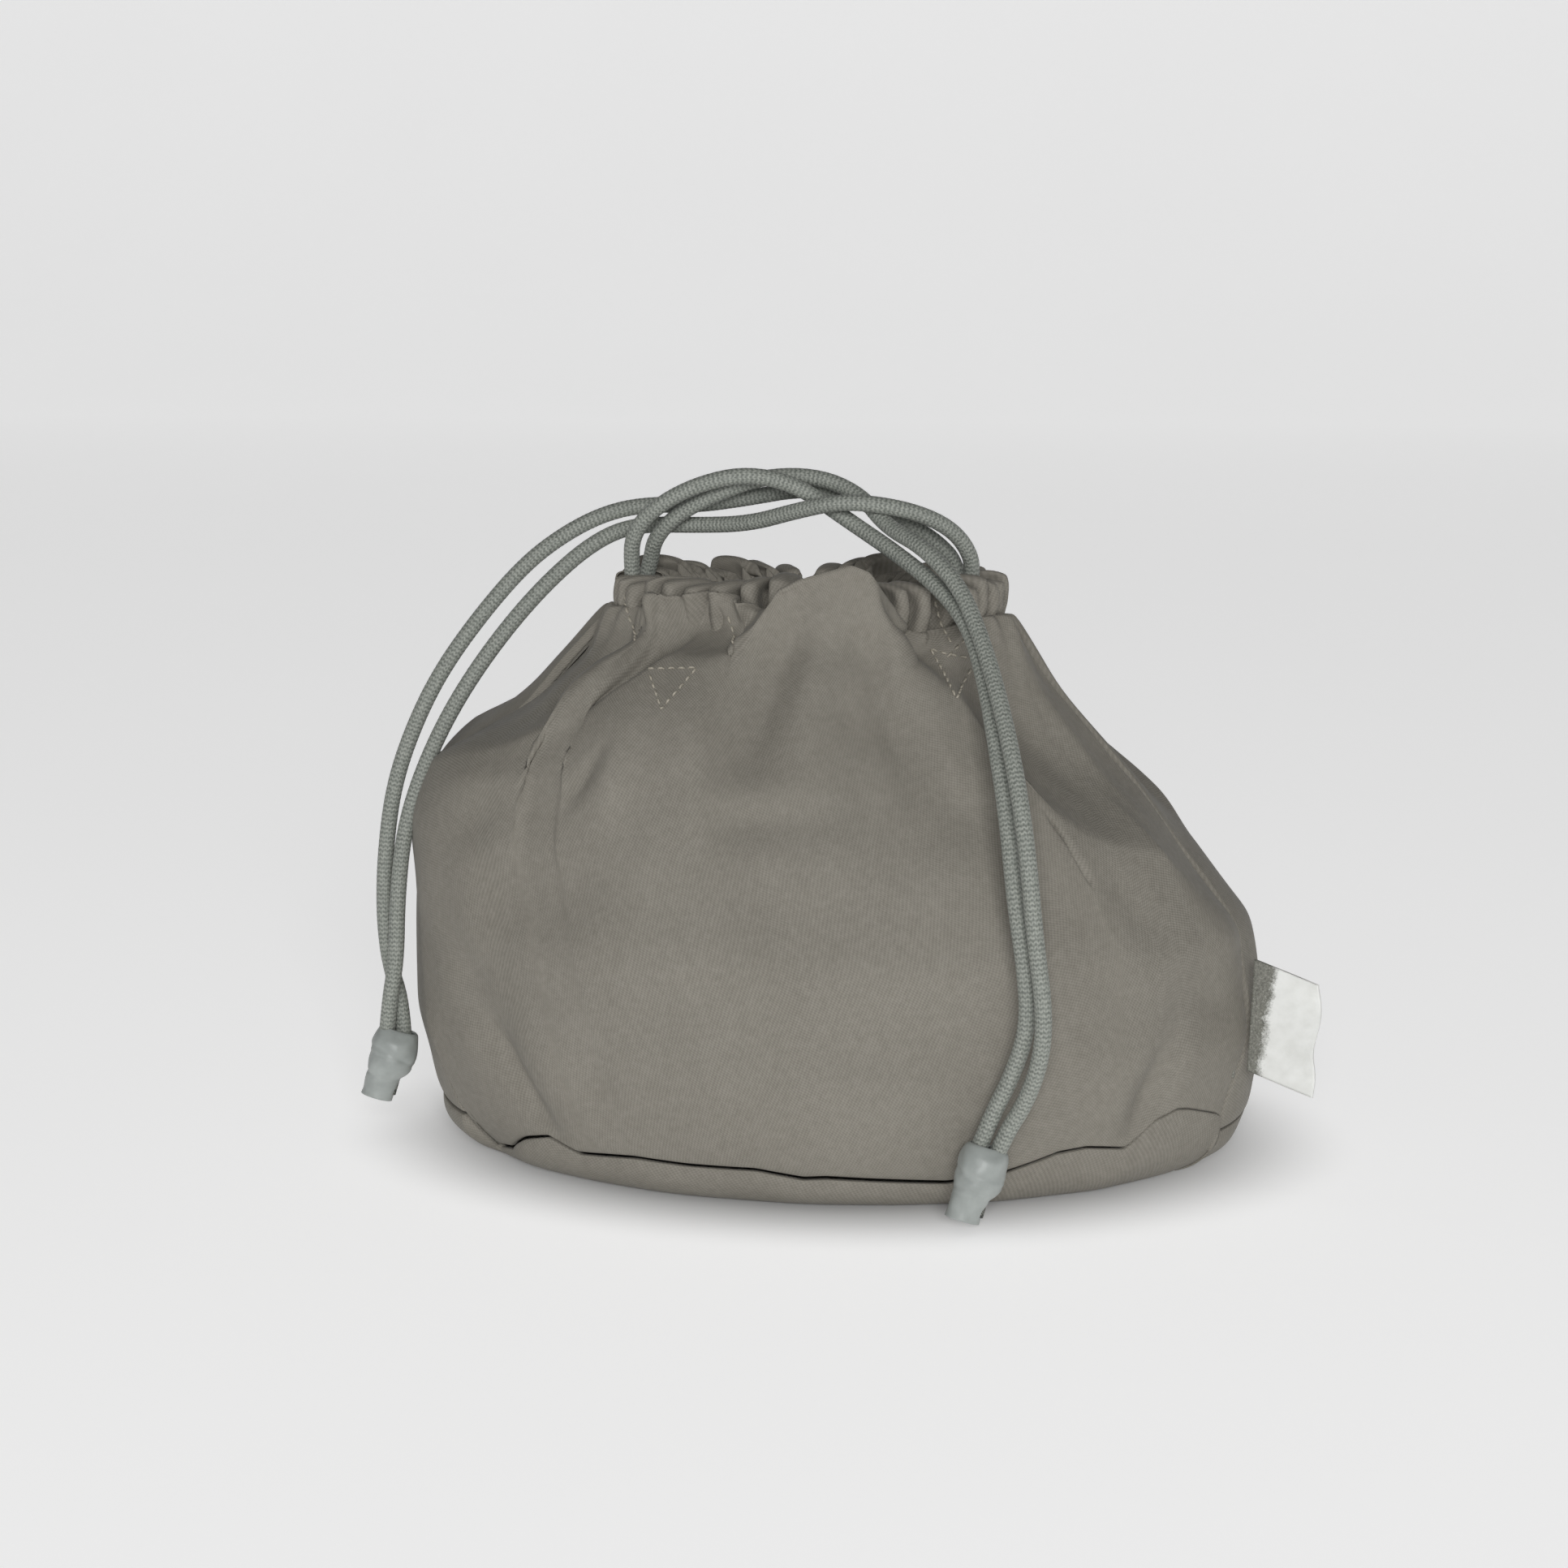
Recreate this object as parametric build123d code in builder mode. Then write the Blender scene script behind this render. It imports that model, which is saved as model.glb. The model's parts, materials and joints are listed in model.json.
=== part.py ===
"""Soft drawstring shoe bag, stuffed and standing: sewn panels, gathered mouth, two cords, side label.

Frame: millimetres, +Z up, the front of the bag faces -Y, the label is on the +X side.
The origin is the middle of the face that the bag rests on.
"""
import os
from math import pi, radians, tan

from build123d import *

# ---- driving dimensions -------------------------------------------------------------------------
wall = 1.5                  # thickness that stands for the cloth and its lining
base_height = 13.0          # how far up the sides the base panel reaches
neck_height = 162.0         # where the panels end and the cord channel begins
seam_lean = 0.25            # the side seams lean back this much per millimetre of height
seam_front = -38.0          # y of both side seams at the floor

# the stuffed outline: height, half width, middle in x, half depth, middle in y
outline = [
    (0.0, 112.0, 0.0, 69.0, 0.0),
    (4.0, 121.0, 0.0, 76.0, 0.0),
    (14.0, 129.0, 0.0, 82.0, 0.0),
    (42.0, 134.0, -0.5, 86.0, 0.0),
    (75.0, 130.5, -4.5, 84.0, 0.0),
    (105.0, 117.0, -16.0, 74.0, 1.0),
    (129.0, 99.5, -20.5, 60.0, 2.5),
    (147.0, 81.0, -21.0, 46.0, 3.5),
    (162.0, 64.0, -15.0, 34.0, 4.0),
]

cord_diameter = 5.0
cord_gap = 0.2              # free room between the two cords and round them in the channel
mouth_x = -11.0             # middle of the gathered mouth
mouth_y = 4.0
mouth_straight = 56.0       # straight length of the oval mouth, front and back
cord_bend = 26.0            # end radius of the outer cord loop's middle line
channel_height = 14.0
tunnel_height = 10.0
exit_gap = 14.0             # width of the slit where the cords come out, at each side
cord_level = neck_height + channel_height / 2

thread = 0.9                # width of a line of stitches
thread_rise = 0.5           # how far the thread stands off the cloth
patch_thickness = 1.0
binding_thickness = 1.4
binding_width = 9.0
inner_gap = 0.15            # between the cloth and what is sewn on inside it

triangle_width = 14.0
triangle_height = 13.0
triangle_low = 135.0
triangle_middles = {"left": -48.0, "right": 33.0}

label_reach = Vector(20.0, -9.0, -7.5)      # from the sewn edge to the folded edge
label_foot = Vector(125.9, -32.7, 30.0)     # lower end of the sewn edge
label_head = Vector(127.7, -24.2, 63.0)     # upper end of the sewn edge
label_thickness = 1.2
label_sewn_depth = 9.0      # how much of the label is caught inside the seam
label_clearance = 1.0       # between the sewn edge and the part that swings

sleeve_length = 23.0
sleeve_wall = 0.6
sleeve_mouth = 6.0          # outer radius where the cords go in
sleeve_bulge = 7.2          # outer radius over the knot
sleeve_end = 5.6            # outer radius at the open end
knot_radius = 5.8
knot_depth = 9.7            # how far down the sleeve the knot's middle sits
tail_diameter = 4.4         # the cut cord ends, squeezed by the sleeve
tail_end = 20.5             # how far down the sleeve they reach

os.makedirs("parts", exist_ok=True)
parts = []


def keep(part, name):
    """Label one finished piece and write it."""
    part.label = name
    export_step(part, f"parts/{name}.step")
    parts.append(part)


# ---- the stuffed body ---------------------------------------------------------------------------
def body(grow):
    """The stuffed outline as one solid, every section larger by grow."""
    with BuildPart() as solid:
        for height, half_width, middle_x, half_depth, middle_y in outline:
            with BuildSketch(Plane(origin=(middle_x, middle_y, height))):
                Ellipse(half_width + grow, half_depth + grow)
        loft()
    return solid.part


outer = body(0)
inner = body(-wall)
backing = body(-wall - inner_gap)
lined = body(-wall - inner_gap - binding_thickness)
patched = body(-wall - inner_gap - patch_thickness)
stitched = body(thread_rise)
seam_plane = Plane(origin=(0, seam_front, 0), x_dir=(1, 0, 0), z_dir=(0, 1, -seam_lean))


def slab(low, high):
    """A block over the whole plan between two heights, to cut the body's shells with."""
    with BuildPart() as block:
        with BuildSketch(Plane.XY.offset(low)):
            Rectangle(400, 400)
        extrude(amount=high - low)
    return block.part


with BuildPart() as front_panel:
    add(outer)
    add(inner, mode=Mode.SUBTRACT)
    add(slab(base_height, neck_height), mode=Mode.INTERSECT)
    split(bisect_by=seam_plane, keep=Keep.BOTTOM)
keep(front_panel.part, "front_panel")

with BuildPart() as back_panel:
    add(outer)
    add(inner, mode=Mode.SUBTRACT)
    add(slab(base_height, neck_height), mode=Mode.INTERSECT)
    split(bisect_by=seam_plane, keep=Keep.TOP)
keep(back_panel.part, "back_panel")

with BuildPart() as hollow:
    add(inner)
    add(slab(wall, neck_height), mode=Mode.INTERSECT)

with BuildPart() as base_panel:
    add(outer)
    add(hollow.part, mode=Mode.SUBTRACT)
    add(slab(0, base_height), mode=Mode.INTERSECT)
keep(base_panel.part, "base_panel")

# ---- binding over the seam allowances, inside ---------------------------------------------------
with BuildPart() as base_seam_binding:
    add(backing)
    add(lined, mode=Mode.SUBTRACT)
    add(slab(base_height + 0.5, base_height + binding_width), mode=Mode.INTERSECT)
keep(base_seam_binding.part, "base_seam_binding")

binding_low = base_height + binding_width + 0.5
binding_high = neck_height - 2.0
for side, outward in (("left", -1), ("right", 1)):
    with BuildPart() as seam_binding:
        add(backing)
        add(lined, mode=Mode.SUBTRACT)
        add(slab(binding_low, binding_high), mode=Mode.INTERSECT)
        split(bisect_by=seam_plane.offset(-binding_width / 2), keep=Keep.TOP)
        split(bisect_by=seam_plane.offset(binding_width / 2), keep=Keep.BOTTOM)
        split(bisect_by=Plane(origin=(mouth_x, 0, 0), z_dir=(outward, 0, 0)), keep=Keep.TOP)
    keep(seam_binding.part, f"side_seam_binding_{side}")


# ---- stitched triangles that hold a patch behind the front panel --------------------------------
def triangle_column(middle, shrink):
    """A bar with the triangle's outline, point down, that runs through the front of the bag."""
    half = triangle_width / 2 - shrink * 1.7
    top = triangle_low + triangle_height - shrink
    low = triangle_low + shrink * 2.1
    with BuildPart() as column:
        with BuildSketch(Plane(origin=(middle, 0, 0), x_dir=(1, 0, 0), z_dir=(0, -1, 0))):
            Polygon((0, low), (half, top), (-half, top), align=None)
        extrude(amount=100)
    return column.part


for side, middle in triangle_middles.items():
    with BuildPart() as patch:
        add(backing)
        add(patched, mode=Mode.SUBTRACT)
        add(triangle_column(middle, -2.0), mode=Mode.INTERSECT)
    keep(patch.part, f"reinforcement_patch_{side}")

    with BuildPart() as triangle_stitching:
        add(stitched)
        add(outer, mode=Mode.SUBTRACT)
        add(triangle_column(middle, 0), mode=Mode.INTERSECT)
        add(triangle_column(middle, thread), mode=Mode.SUBTRACT)
    keep(triangle_stitching.part, f"triangle_stitching_{side}")

# ---- cord channel round the mouth ---------------------------------------------------------------
cord_pitch = cord_diameter + cord_gap
tunnel_outer = cord_bend + cord_diameter / 2 + cord_gap
tunnel_inner = cord_bend - cord_pitch - cord_diameter / 2 - cord_gap
channel_outer = tunnel_outer + wall
channel_inner = tunnel_inner - wall


def oval_ring(outer_radius, inner_radius, low, high):
    """An upright oval ring round the mouth, between two heights."""
    with BuildPart() as ring:
        with BuildSketch(Plane(origin=(mouth_x, mouth_y, low))):
            SlotCenterToCenter(mouth_straight, 2 * outer_radius)
            SlotCenterToCenter(mouth_straight, 2 * inner_radius, mode=Mode.SUBTRACT)
        extrude(amount=high - low)
    return ring.part


channel_top = neck_height + channel_height
tunnel = oval_ring(tunnel_outer, tunnel_inner, cord_level - tunnel_height / 2, cord_level + tunnel_height / 2)
thread_ring = oval_ring(channel_outer + thread_rise, channel_outer, neck_height + 1, neck_height + 1 + thread)
hem_ring = oval_ring(channel_outer + thread_rise, channel_outer, neck_height + 2.5, channel_top - 2)
hem_stitch_middle = exit_gap / 2 + 3.0

for side, forward in (("front", -1), ("back", 1)):
    gap_plane = Plane(origin=(0, mouth_y + forward * exit_gap / 2, 0), z_dir=(0, forward, 0))
    with BuildPart() as channel:
        add(oval_ring(channel_outer, channel_inner, neck_height, channel_top))
        rims = channel.edges().filter_by(Plane.XY).group_by(Axis.Z)[-1]
        fillet(rims, radius=1.8)
        add(tunnel, mode=Mode.SUBTRACT)
        split(bisect_by=gap_plane, keep=Keep.TOP)
    keep(channel.part, f"channel_{side}")

    with BuildPart() as channel_stitching:
        add(thread_ring)
        split(bisect_by=gap_plane.offset(5.0), keep=Keep.TOP)
    keep(channel_stitching.part, f"channel_stitching_{side}")

for side, outward in (("left", -1), ("right", 1)):
    with BuildPart() as bars:
        with BuildSketch(Plane(origin=(mouth_x, mouth_y, neck_height), x_dir=(1, 0, 0), z_dir=(0, 0, 1))):
            with Locations((outward * 50, -hem_stitch_middle), (outward * 50, hem_stitch_middle)):
                Rectangle(40, thread)
        extrude(amount=channel_height)
    with BuildPart() as exit_stitching:
        add(hem_ring)
        add(bars.part, mode=Mode.INTERSECT)
    keep(exit_stitching.part, f"exit_stitching_{side}")


# ---- the cords ----------------------------------------------------------------------------------
def cord_loop(bend, outward, opening):
    """One cord where it lies in the channel: an oval loop, open at the side where its ends leave."""
    half = mouth_straight / 2
    with BuildPart() as loop:
        with BuildLine(Plane(origin=(mouth_x, mouth_y, cord_level), x_dir=(outward, 0, 0), z_dir=(0, 0, 1))) as way:
            near = CenterArc((half, 0), bend, opening, 90 - opening)
            top = Line(near @ 1, (-half, bend))
            far = CenterArc((-half, 0), bend, 90, 180)
            low = Line(far @ 1, (half, -bend))
            CenterArc((half, 0), bend, 270, 90 - opening)
        with BuildSketch(Plane(origin=way.line @ 0, z_dir=way.line % 0)):
            Circle(cord_diameter / 2)
        sweep(path=way.line)
    return loop.part


loop_opening = 8.0          # degrees from the exit's middle to each end of a loop
keep(cord_loop(cord_bend, -1, loop_opening), "drawcord_left_in_channel")
keep(cord_loop(cord_bend - cord_pitch, 1, loop_opening), "drawcord_right_in_channel")

# each free strand: from its exit, over the mouth, down to its knot
left_exit_x = mouth_x - mouth_straight / 2 - cord_bend
right_exit_x = mouth_x + mouth_straight / 2 + cord_bend - cord_pitch
routes = {
    "left_exit_strand_outer": [
        (left_exit_x, 0.5, cord_level + 1),
        (-66, -0.5, 181),
        (-65, -5, 192),
        (-57, -8.5, 201),
        (-44, -11, 208),
        (-29, -12, 211.5),
        (-14, -8, 208),
        (2, -8, 197),
        (17, -17.5, 188.5),
        (31, -29.5, 179.5),
        (40, -41, 170),
        (45, -52, 156),
        (49, -66, 138),
        (52.5, -77, 119.5),
        (55, -84.5, 98),
        (58.5, -88, 77),
        (59.5, -88, 61),
        (55, -87.5, 46),
        (49, -86, 33),
        (44.5, -87, 20.5),
    ],
    "left_exit_strand_inner": [
        (left_exit_x + 0.5, 7.5, cord_level + 1),
        (-61, 6.5, 181),
        (-59, 2, 190),
        (-51, -1.5, 198),
        (-39, -3.5, 204.5),
        (-24, -4, 210),
        (-7, -3.5, 210),
        (6, -6.5, 204.5),
        (14, -15, 196),
        (26, -28.5, 191.5),
        (37, -39, 181.5),
        (43.5, -50, 168.5),
        (49, -63, 154),
        (54.5, -78, 134.5),
        (58.5, -88.5, 112.5),
        (61, -92, 88),
        (64, -93.5, 68),
        (63.5, -92, 53),
        (59, -89, 38.5),
        (53.5, -87.5, 29),
        (49.7, -87.3, 19.1),
    ],
    "right_exit_strand_inner": [
        (right_exit_x, 0.5, cord_level + 1),
        (40.5, -0.5, 181),
        (37.5, -4, 190),
        (30.5, -10, 197),
        (18, -15.5, 202),
        (1, -17, 204),
        (-14, -10, 200),
        (-29, -1.5, 195),
        (-46, 6, 193.5),
        (-66, 7.5, 193.5),
        (-79, 2, 188),
        (-94, -5, 174.5),
        (-108.5, -10, 157),
        (-121, -13, 138),
        (-130, -16, 119),
        (-136, -18, 100),
        (-138, -21, 79),
        (-138, -24.5, 60),
        (-140.5, -25.5, 46),
        (-142.3, -23, 32.4),
    ],
    "right_exit_strand_outer": [
        (right_exit_x - 0.5, 7.5, cord_level + 1),
        (35, 7, 182),
        (29, 4, 189),
        (21, 1, 194.5),
        (10, 0.5, 199.5),
        (-1, 2, 205),
        (-15, 5.5, 205),
        (-30, 8, 202),
        (-46, 8.5, 199.5),
        (-63, 8.5, 199.5),
        (-75, 5.5, 197),
        (-87, 2.5, 191),
        (-99, -1.5, 182),
        (-112, -6.5, 167),
        (-124.5, -10.5, 149.5),
        (-133, -13, 132.5),
        (-139.5, -14.5, 114),
        (-142.5, -15.5, 94),
        (-143.5, -16.5, 74),
        (-142, -17.5, 57),
        (-137.5, -19.5, 44),
        (-136.7, -22.4, 31),
    ],
}


def strand(route):
    """A cord tube along straight runs joined by the largest tangent arcs that they leave room for."""
    points = [Vector(*point) for point in route]
    radii = []
    for before, here, after in zip(points, points[1:], points[2:]):
        turn = (here - before).get_angle(after - here)
        run = min((here - before).length, (after - here).length)
        radii.append(0.45 * run / tan(radians(turn) / 2))
    with BuildPart() as tube:
        with BuildLine():
            way = FilletPolyline(*points, radius=radii)
        with BuildSketch(Plane(origin=way @ 0, z_dir=way % 0)):
            Circle(cord_diameter / 2)
        sweep(path=way)
    filled = tube.part.volume / (pi * cord_diameter ** 2 / 4 * way.length)
    print(f"length {way.length:.1f}, volume / (section x length) {filled:.4f}")
    print("   radii", " ".join(f"{radius:.0f}" for radius in radii))
    return tube.part


for name, route in routes.items():
    print(name, end=": ")
    keep(strand(route), name)

# ---- knots, cut ends and shrunk sleeves on the cords --------------------------------------------
sleeve_tops = {"right": Vector(48.3, -86.0, 24.5), "left": Vector(-138.2, -22.0, 36.5)}
sleeve_leans = {"right": Vector(-5.5, -4.0, -20.0), "left": Vector(-5.5, -3.0, -19.5)}

for side, top in sleeve_tops.items():
    axis = sleeve_leans[side].normalized()
    across = axis.cross(Vector(0, 1, 0)).normalized()

    with BuildPart() as sleeve:
        with BuildSketch(Plane(origin=top, x_dir=across, z_dir=across.cross(axis))):
            with BuildLine():
                skin = Spline((sleeve_mouth, 0), (sleeve_bulge, knot_depth), (sleeve_end, sleeve_length))
                Line(skin @ 1, (sleeve_end - sleeve_wall, sleeve_length))
                lining = Spline(
                    (sleeve_end - sleeve_wall, sleeve_length),
                    (sleeve_bulge - sleeve_wall, knot_depth),
                    (sleeve_mouth - sleeve_wall, 0),
                )
                Line(lining @ 1, skin @ 0)
            make_face()
        revolve(axis=Axis(top, axis))
    keep(sleeve.part, f"cord_sleeve_{side}")

    with BuildPart() as knot:
        with Locations(top + axis * knot_depth):
            Sphere(knot_radius)
    keep(knot.part, f"cord_knot_{side}")

    with BuildPart() as tails:
        with BuildSketch(Plane(origin=top + axis * knot_depth, x_dir=across, z_dir=axis)):
            with GridLocations(tail_diameter + cord_gap, 0, 2, 1):
                Circle(tail_diameter / 2)
        extrude(amount=tail_end - knot_depth)
        add(knot.part, mode=Mode.SUBTRACT)
    keep(tails.part, f"cord_ends_{side}")

# ---- the folded label in the right side seam ----------------------------------------------------
label_edge = label_head - label_foot
label_plane = Plane(origin=label_foot, x_dir=label_reach, z_dir=label_reach.cross(label_edge))
label_corner = label_plane.to_local_coords(label_head)


def label_sheet(near, far):
    """A flat piece of the label between two distances from its sewn edge."""
    with BuildPart() as sheet:
        with BuildSketch(label_plane):
            Polygon(
                (near, 0),
                (far, 0),
                (far + label_corner.X, label_corner.Y),
                (near + label_corner.X, label_corner.Y),
                align=None,
            )
        extrude(amount=label_thickness / 2, both=True)
    return sheet.part


with BuildPart() as side_label:
    add(label_sheet(0, label_reach.length))
    fold = side_label.edges().filter_by(Axis(label_foot, label_edge)).sort_by(Axis(label_foot, label_reach))[-2:]
    fillet(fold, radius=label_thickness * 0.45)
keep(side_label.part, "side_label")

keep(label_sheet(-label_sewn_depth, -label_clearance), "label_sewn_edge")
print(len(parts), "parts written")
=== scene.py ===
# %% [markdown]
# # A stuffed drawstring shoe bag
# Each step has a few lines that say what the piece is on the real bag, how it could be made, and why it is
# made this way here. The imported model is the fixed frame: every new piece takes its place from it.

import json
from math import atan2, cos, hypot, pi, radians, sin

import bmesh
import bpy
import numpy as np
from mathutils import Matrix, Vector, noise

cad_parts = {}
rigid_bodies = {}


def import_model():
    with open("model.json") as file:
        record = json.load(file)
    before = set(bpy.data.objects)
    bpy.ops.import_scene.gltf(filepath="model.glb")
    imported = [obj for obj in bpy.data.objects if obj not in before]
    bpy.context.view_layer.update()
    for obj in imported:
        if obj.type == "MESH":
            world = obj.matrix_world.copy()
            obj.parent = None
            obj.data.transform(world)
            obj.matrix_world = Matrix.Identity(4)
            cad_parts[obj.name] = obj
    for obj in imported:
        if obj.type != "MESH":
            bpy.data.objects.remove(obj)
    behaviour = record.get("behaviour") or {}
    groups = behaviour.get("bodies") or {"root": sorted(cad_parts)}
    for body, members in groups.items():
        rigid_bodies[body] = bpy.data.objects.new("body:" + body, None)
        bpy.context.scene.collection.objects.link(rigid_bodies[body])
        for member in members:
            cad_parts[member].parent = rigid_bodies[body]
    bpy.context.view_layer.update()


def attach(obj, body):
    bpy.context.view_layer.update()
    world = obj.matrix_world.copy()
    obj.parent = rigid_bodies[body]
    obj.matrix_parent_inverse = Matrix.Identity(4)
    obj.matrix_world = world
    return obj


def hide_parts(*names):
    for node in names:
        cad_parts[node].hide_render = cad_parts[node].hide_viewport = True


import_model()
MM = 0.001
scene = bpy.context.scene

# %% [markdown]
# ## Camera and studio
# A product like this is shot with a longish lens from a little above the table, in front of a pale paper
# sweep. One very large soft light from the front and a weaker one above give cloth its gentle shading.
# The sweep itself glows as painted light, brighter low than high, and also lights the bag from below; the
# glow is cut away round the bag's footprint, which paints the bag's contact shadow on the floor.

# %% Camera
AZIMUTH = radians(5.0)
ELEVATION = radians(11.5)
DISTANCE = 0.950
AIM = Vector((-0.0191, 0.0073, 0.1115))

back = Vector((sin(AZIMUTH) * cos(ELEVATION), -cos(AZIMUTH) * cos(ELEVATION), sin(ELEVATION)))
camera = bpy.data.objects.new("camera", bpy.data.cameras.new("camera"))
scene.collection.objects.link(camera)
camera.location = AIM + back * DISTANCE
camera.rotation_euler = back.to_track_quat("Z", "Y").to_euler()
camera.data.sensor_width = 36.0
camera.data.lens = 68.94
camera.data.clip_start = 0.05
camera.data.clip_end = 30.0
scene.camera = camera


# %% Colour and node helpers
def linear(code):
    """An sRGB hex colour as the linear values that shaders take."""
    channels = [int(code[i : i + 2], 16) / 255 for i in (0, 2, 4)]
    return tuple(c / 12.92 if c <= 0.04045 else ((c + 0.055) / 1.055) ** 2.4 for c in channels) + (1.0,)


def add_node(tree, kind, settings=None, values=None, links=None):
    """Adds one node, with its settings, its socket values and the links into its sockets."""
    node = tree.nodes.new(kind)
    for name, value in (settings or {}).items():
        setattr(node, name, value)
    for name, value in (values or {}).items():
        node.inputs[name].default_value = value
    for name, socket in (links or {}).items():
        tree.links.new(socket, node.inputs[name])
    return node


def new_material(name, **values):
    """A material with a Principled shader, the shader's own values set on its sockets."""
    material = bpy.data.materials.new(name)
    material.use_nodes = True
    tree = material.node_tree
    shader = tree.nodes["Principled BSDF"]
    for socket, value in values.items():
        shader.inputs[socket.replace("_", " ")].default_value = value
    return material, tree, shader


def ramp(tree, factor, stops):
    """A colour ramp from (place, hex colour) pairs."""
    node = add_node(tree, "ShaderNodeValToRGB", links={"Fac": factor})
    elements = node.color_ramp.elements
    while len(elements) < len(stops):
        elements.new(0.5)
    for element, (place, code) in zip(elements, stops):
        element.position = place
        element.color = linear(code)
    return node


# %% Sweep and lights
def select_only(piece):
    bpy.ops.object.select_all(action="DESELECT")
    bpy.context.view_layer.objects.active = piece
    piece.select_set(True)


bpy.ops.object.select_all(action="DESELECT")
bpy.ops.mesh.primitive_plane_add(size=8.0, location=(0, 0, 0))
sweep = bpy.context.object
sweep.name = "paper_sweep"
bpy.ops.object.mode_set(mode="EDIT")
bpy.ops.mesh.select_all(action="DESELECT")
bpy.ops.mesh.select_mode(type="EDGE")
bm = bmesh.from_edit_mesh(sweep.data)
for edge in bm.edges:
    edge.select_set(all(v.co.y > 3.9 for v in edge.verts))
bmesh.update_edit_mesh(sweep.data)
bpy.ops.mesh.extrude_region_move(TRANSFORM_OT_translate={"value": (0, 0, 1.6)})
bpy.ops.object.mode_set(mode="OBJECT")
bend = sweep.modifiers.new("bend", "BEVEL")
bend.width = 1.2
bend.segments = 24
bpy.ops.object.shade_smooth()

paper, tree, shader = new_material("matt_paper_painted_glow", Roughness=0.9)
coords = add_node(tree, "ShaderNodeTexCoord")
grain = add_node(
    tree,
    "ShaderNodeTexNoise",
    values={"Scale": 3.0, "Detail": 4.0},
    links={"Vector": coords.outputs["Object"]},
)
tone = ramp(tree, grain.outputs["Fac"], [(0.3, "cfcfcf"), (0.7, "d2d2d2")])
tree.links.new(tone.outputs["Color"], shader.inputs["Base Color"])
parts = add_node(tree, "ShaderNodeSeparateXYZ", links={"Vector": coords.outputs["Object"]})
# The sweep glows though it is no lamp: painted light, brightest on the floor and dimmer up the backdrop.
climb = add_node(
    tree,
    "ShaderNodeMapRange",
    values={"From Min": 0.0, "From Max": 2.4},
    links={"Value": parts.outputs["Z"]},
)
painted_sweep_glow = ramp(tree, climb.outputs["Result"], [(0.0, "cbcbcb"), (0.35, "c2c2c2"), (1.0, "b0b0b0")])
tree.links.new(painted_sweep_glow.outputs["Color"], shader.inputs["Emission Color"])
# Painted contact shadow: the glow's strength is nothing within the bag's footprint and rises to full a few
# centimetres outside it.
across = add_node(
    tree,
    "ShaderNodeMapping",
    values={"Scale": (1 / 0.120, 1 / 0.082, 0)},
    links={"Vector": coords.outputs["Object"]},
)
reach = add_node(tree, "ShaderNodeVectorMath", {"operation": "LENGTH"}, links={0: across.outputs["Vector"]})
foot = add_node(
    tree, "ShaderNodeMapRange", {
        "interpolation_type": "SMOOTHSTEP"
    }, {"From Min": 0.80, "From Max": 1.38}, {"Value": reach.outputs["Value"]}
)
tree.links.new(foot.outputs["Result"], shader.inputs["Emission Strength"])
shader.inputs["Specular IOR Level"].default_value = 0.1
sweep.data.materials.append(paper)


def soft_light(name, place, target, size, power):
    light = bpy.data.objects.new(name, bpy.data.lights.new(name, "AREA"))
    scene.collection.objects.link(light)
    light.data.shape = "RECTANGLE"
    light.data.size = size[0]
    light.data.size_y = size[1]
    light.data.energy = power
    light.location = place
    light.rotation_euler = (Vector(place) - Vector(target)).to_track_quat("Z", "Y").to_euler()
    return light


soft_light("front_window", (0.30, -2.5, 0.95), (0, 0, 0.1), (1.1, 0.7), 40)
soft_light("top_window", (-0.5, -0.6, 2.2), (0, 0, 0.1), (1.6, 1.6), 2.0)
world = bpy.data.worlds.new("room")
scene.world = world
world.use_nodes = True
tree = world.node_tree
coords = add_node(tree, "ShaderNodeTexCoord")
parts = add_node(tree, "ShaderNodeSeparateXYZ", links={"Vector": coords.outputs["Generated"]})
climb = add_node(
    tree,
    "ShaderNodeMapRange",
    values={"From Min": 0.0, "From Max": 0.6},
    links={"Value": parts.outputs["Z"]},
)
room = ramp(tree, climb.outputs["Result"], [(0.0, "d8d9da"), (0.35, "c4c5c6"), (0.8, "303030")])
tree.links.new(room.outputs["Color"], tree.nodes["Background"].inputs["Color"])
tree.nodes["Background"].inputs["Strength"].default_value = 0.6
scene.view_settings.view_transform = "Standard"
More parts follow.
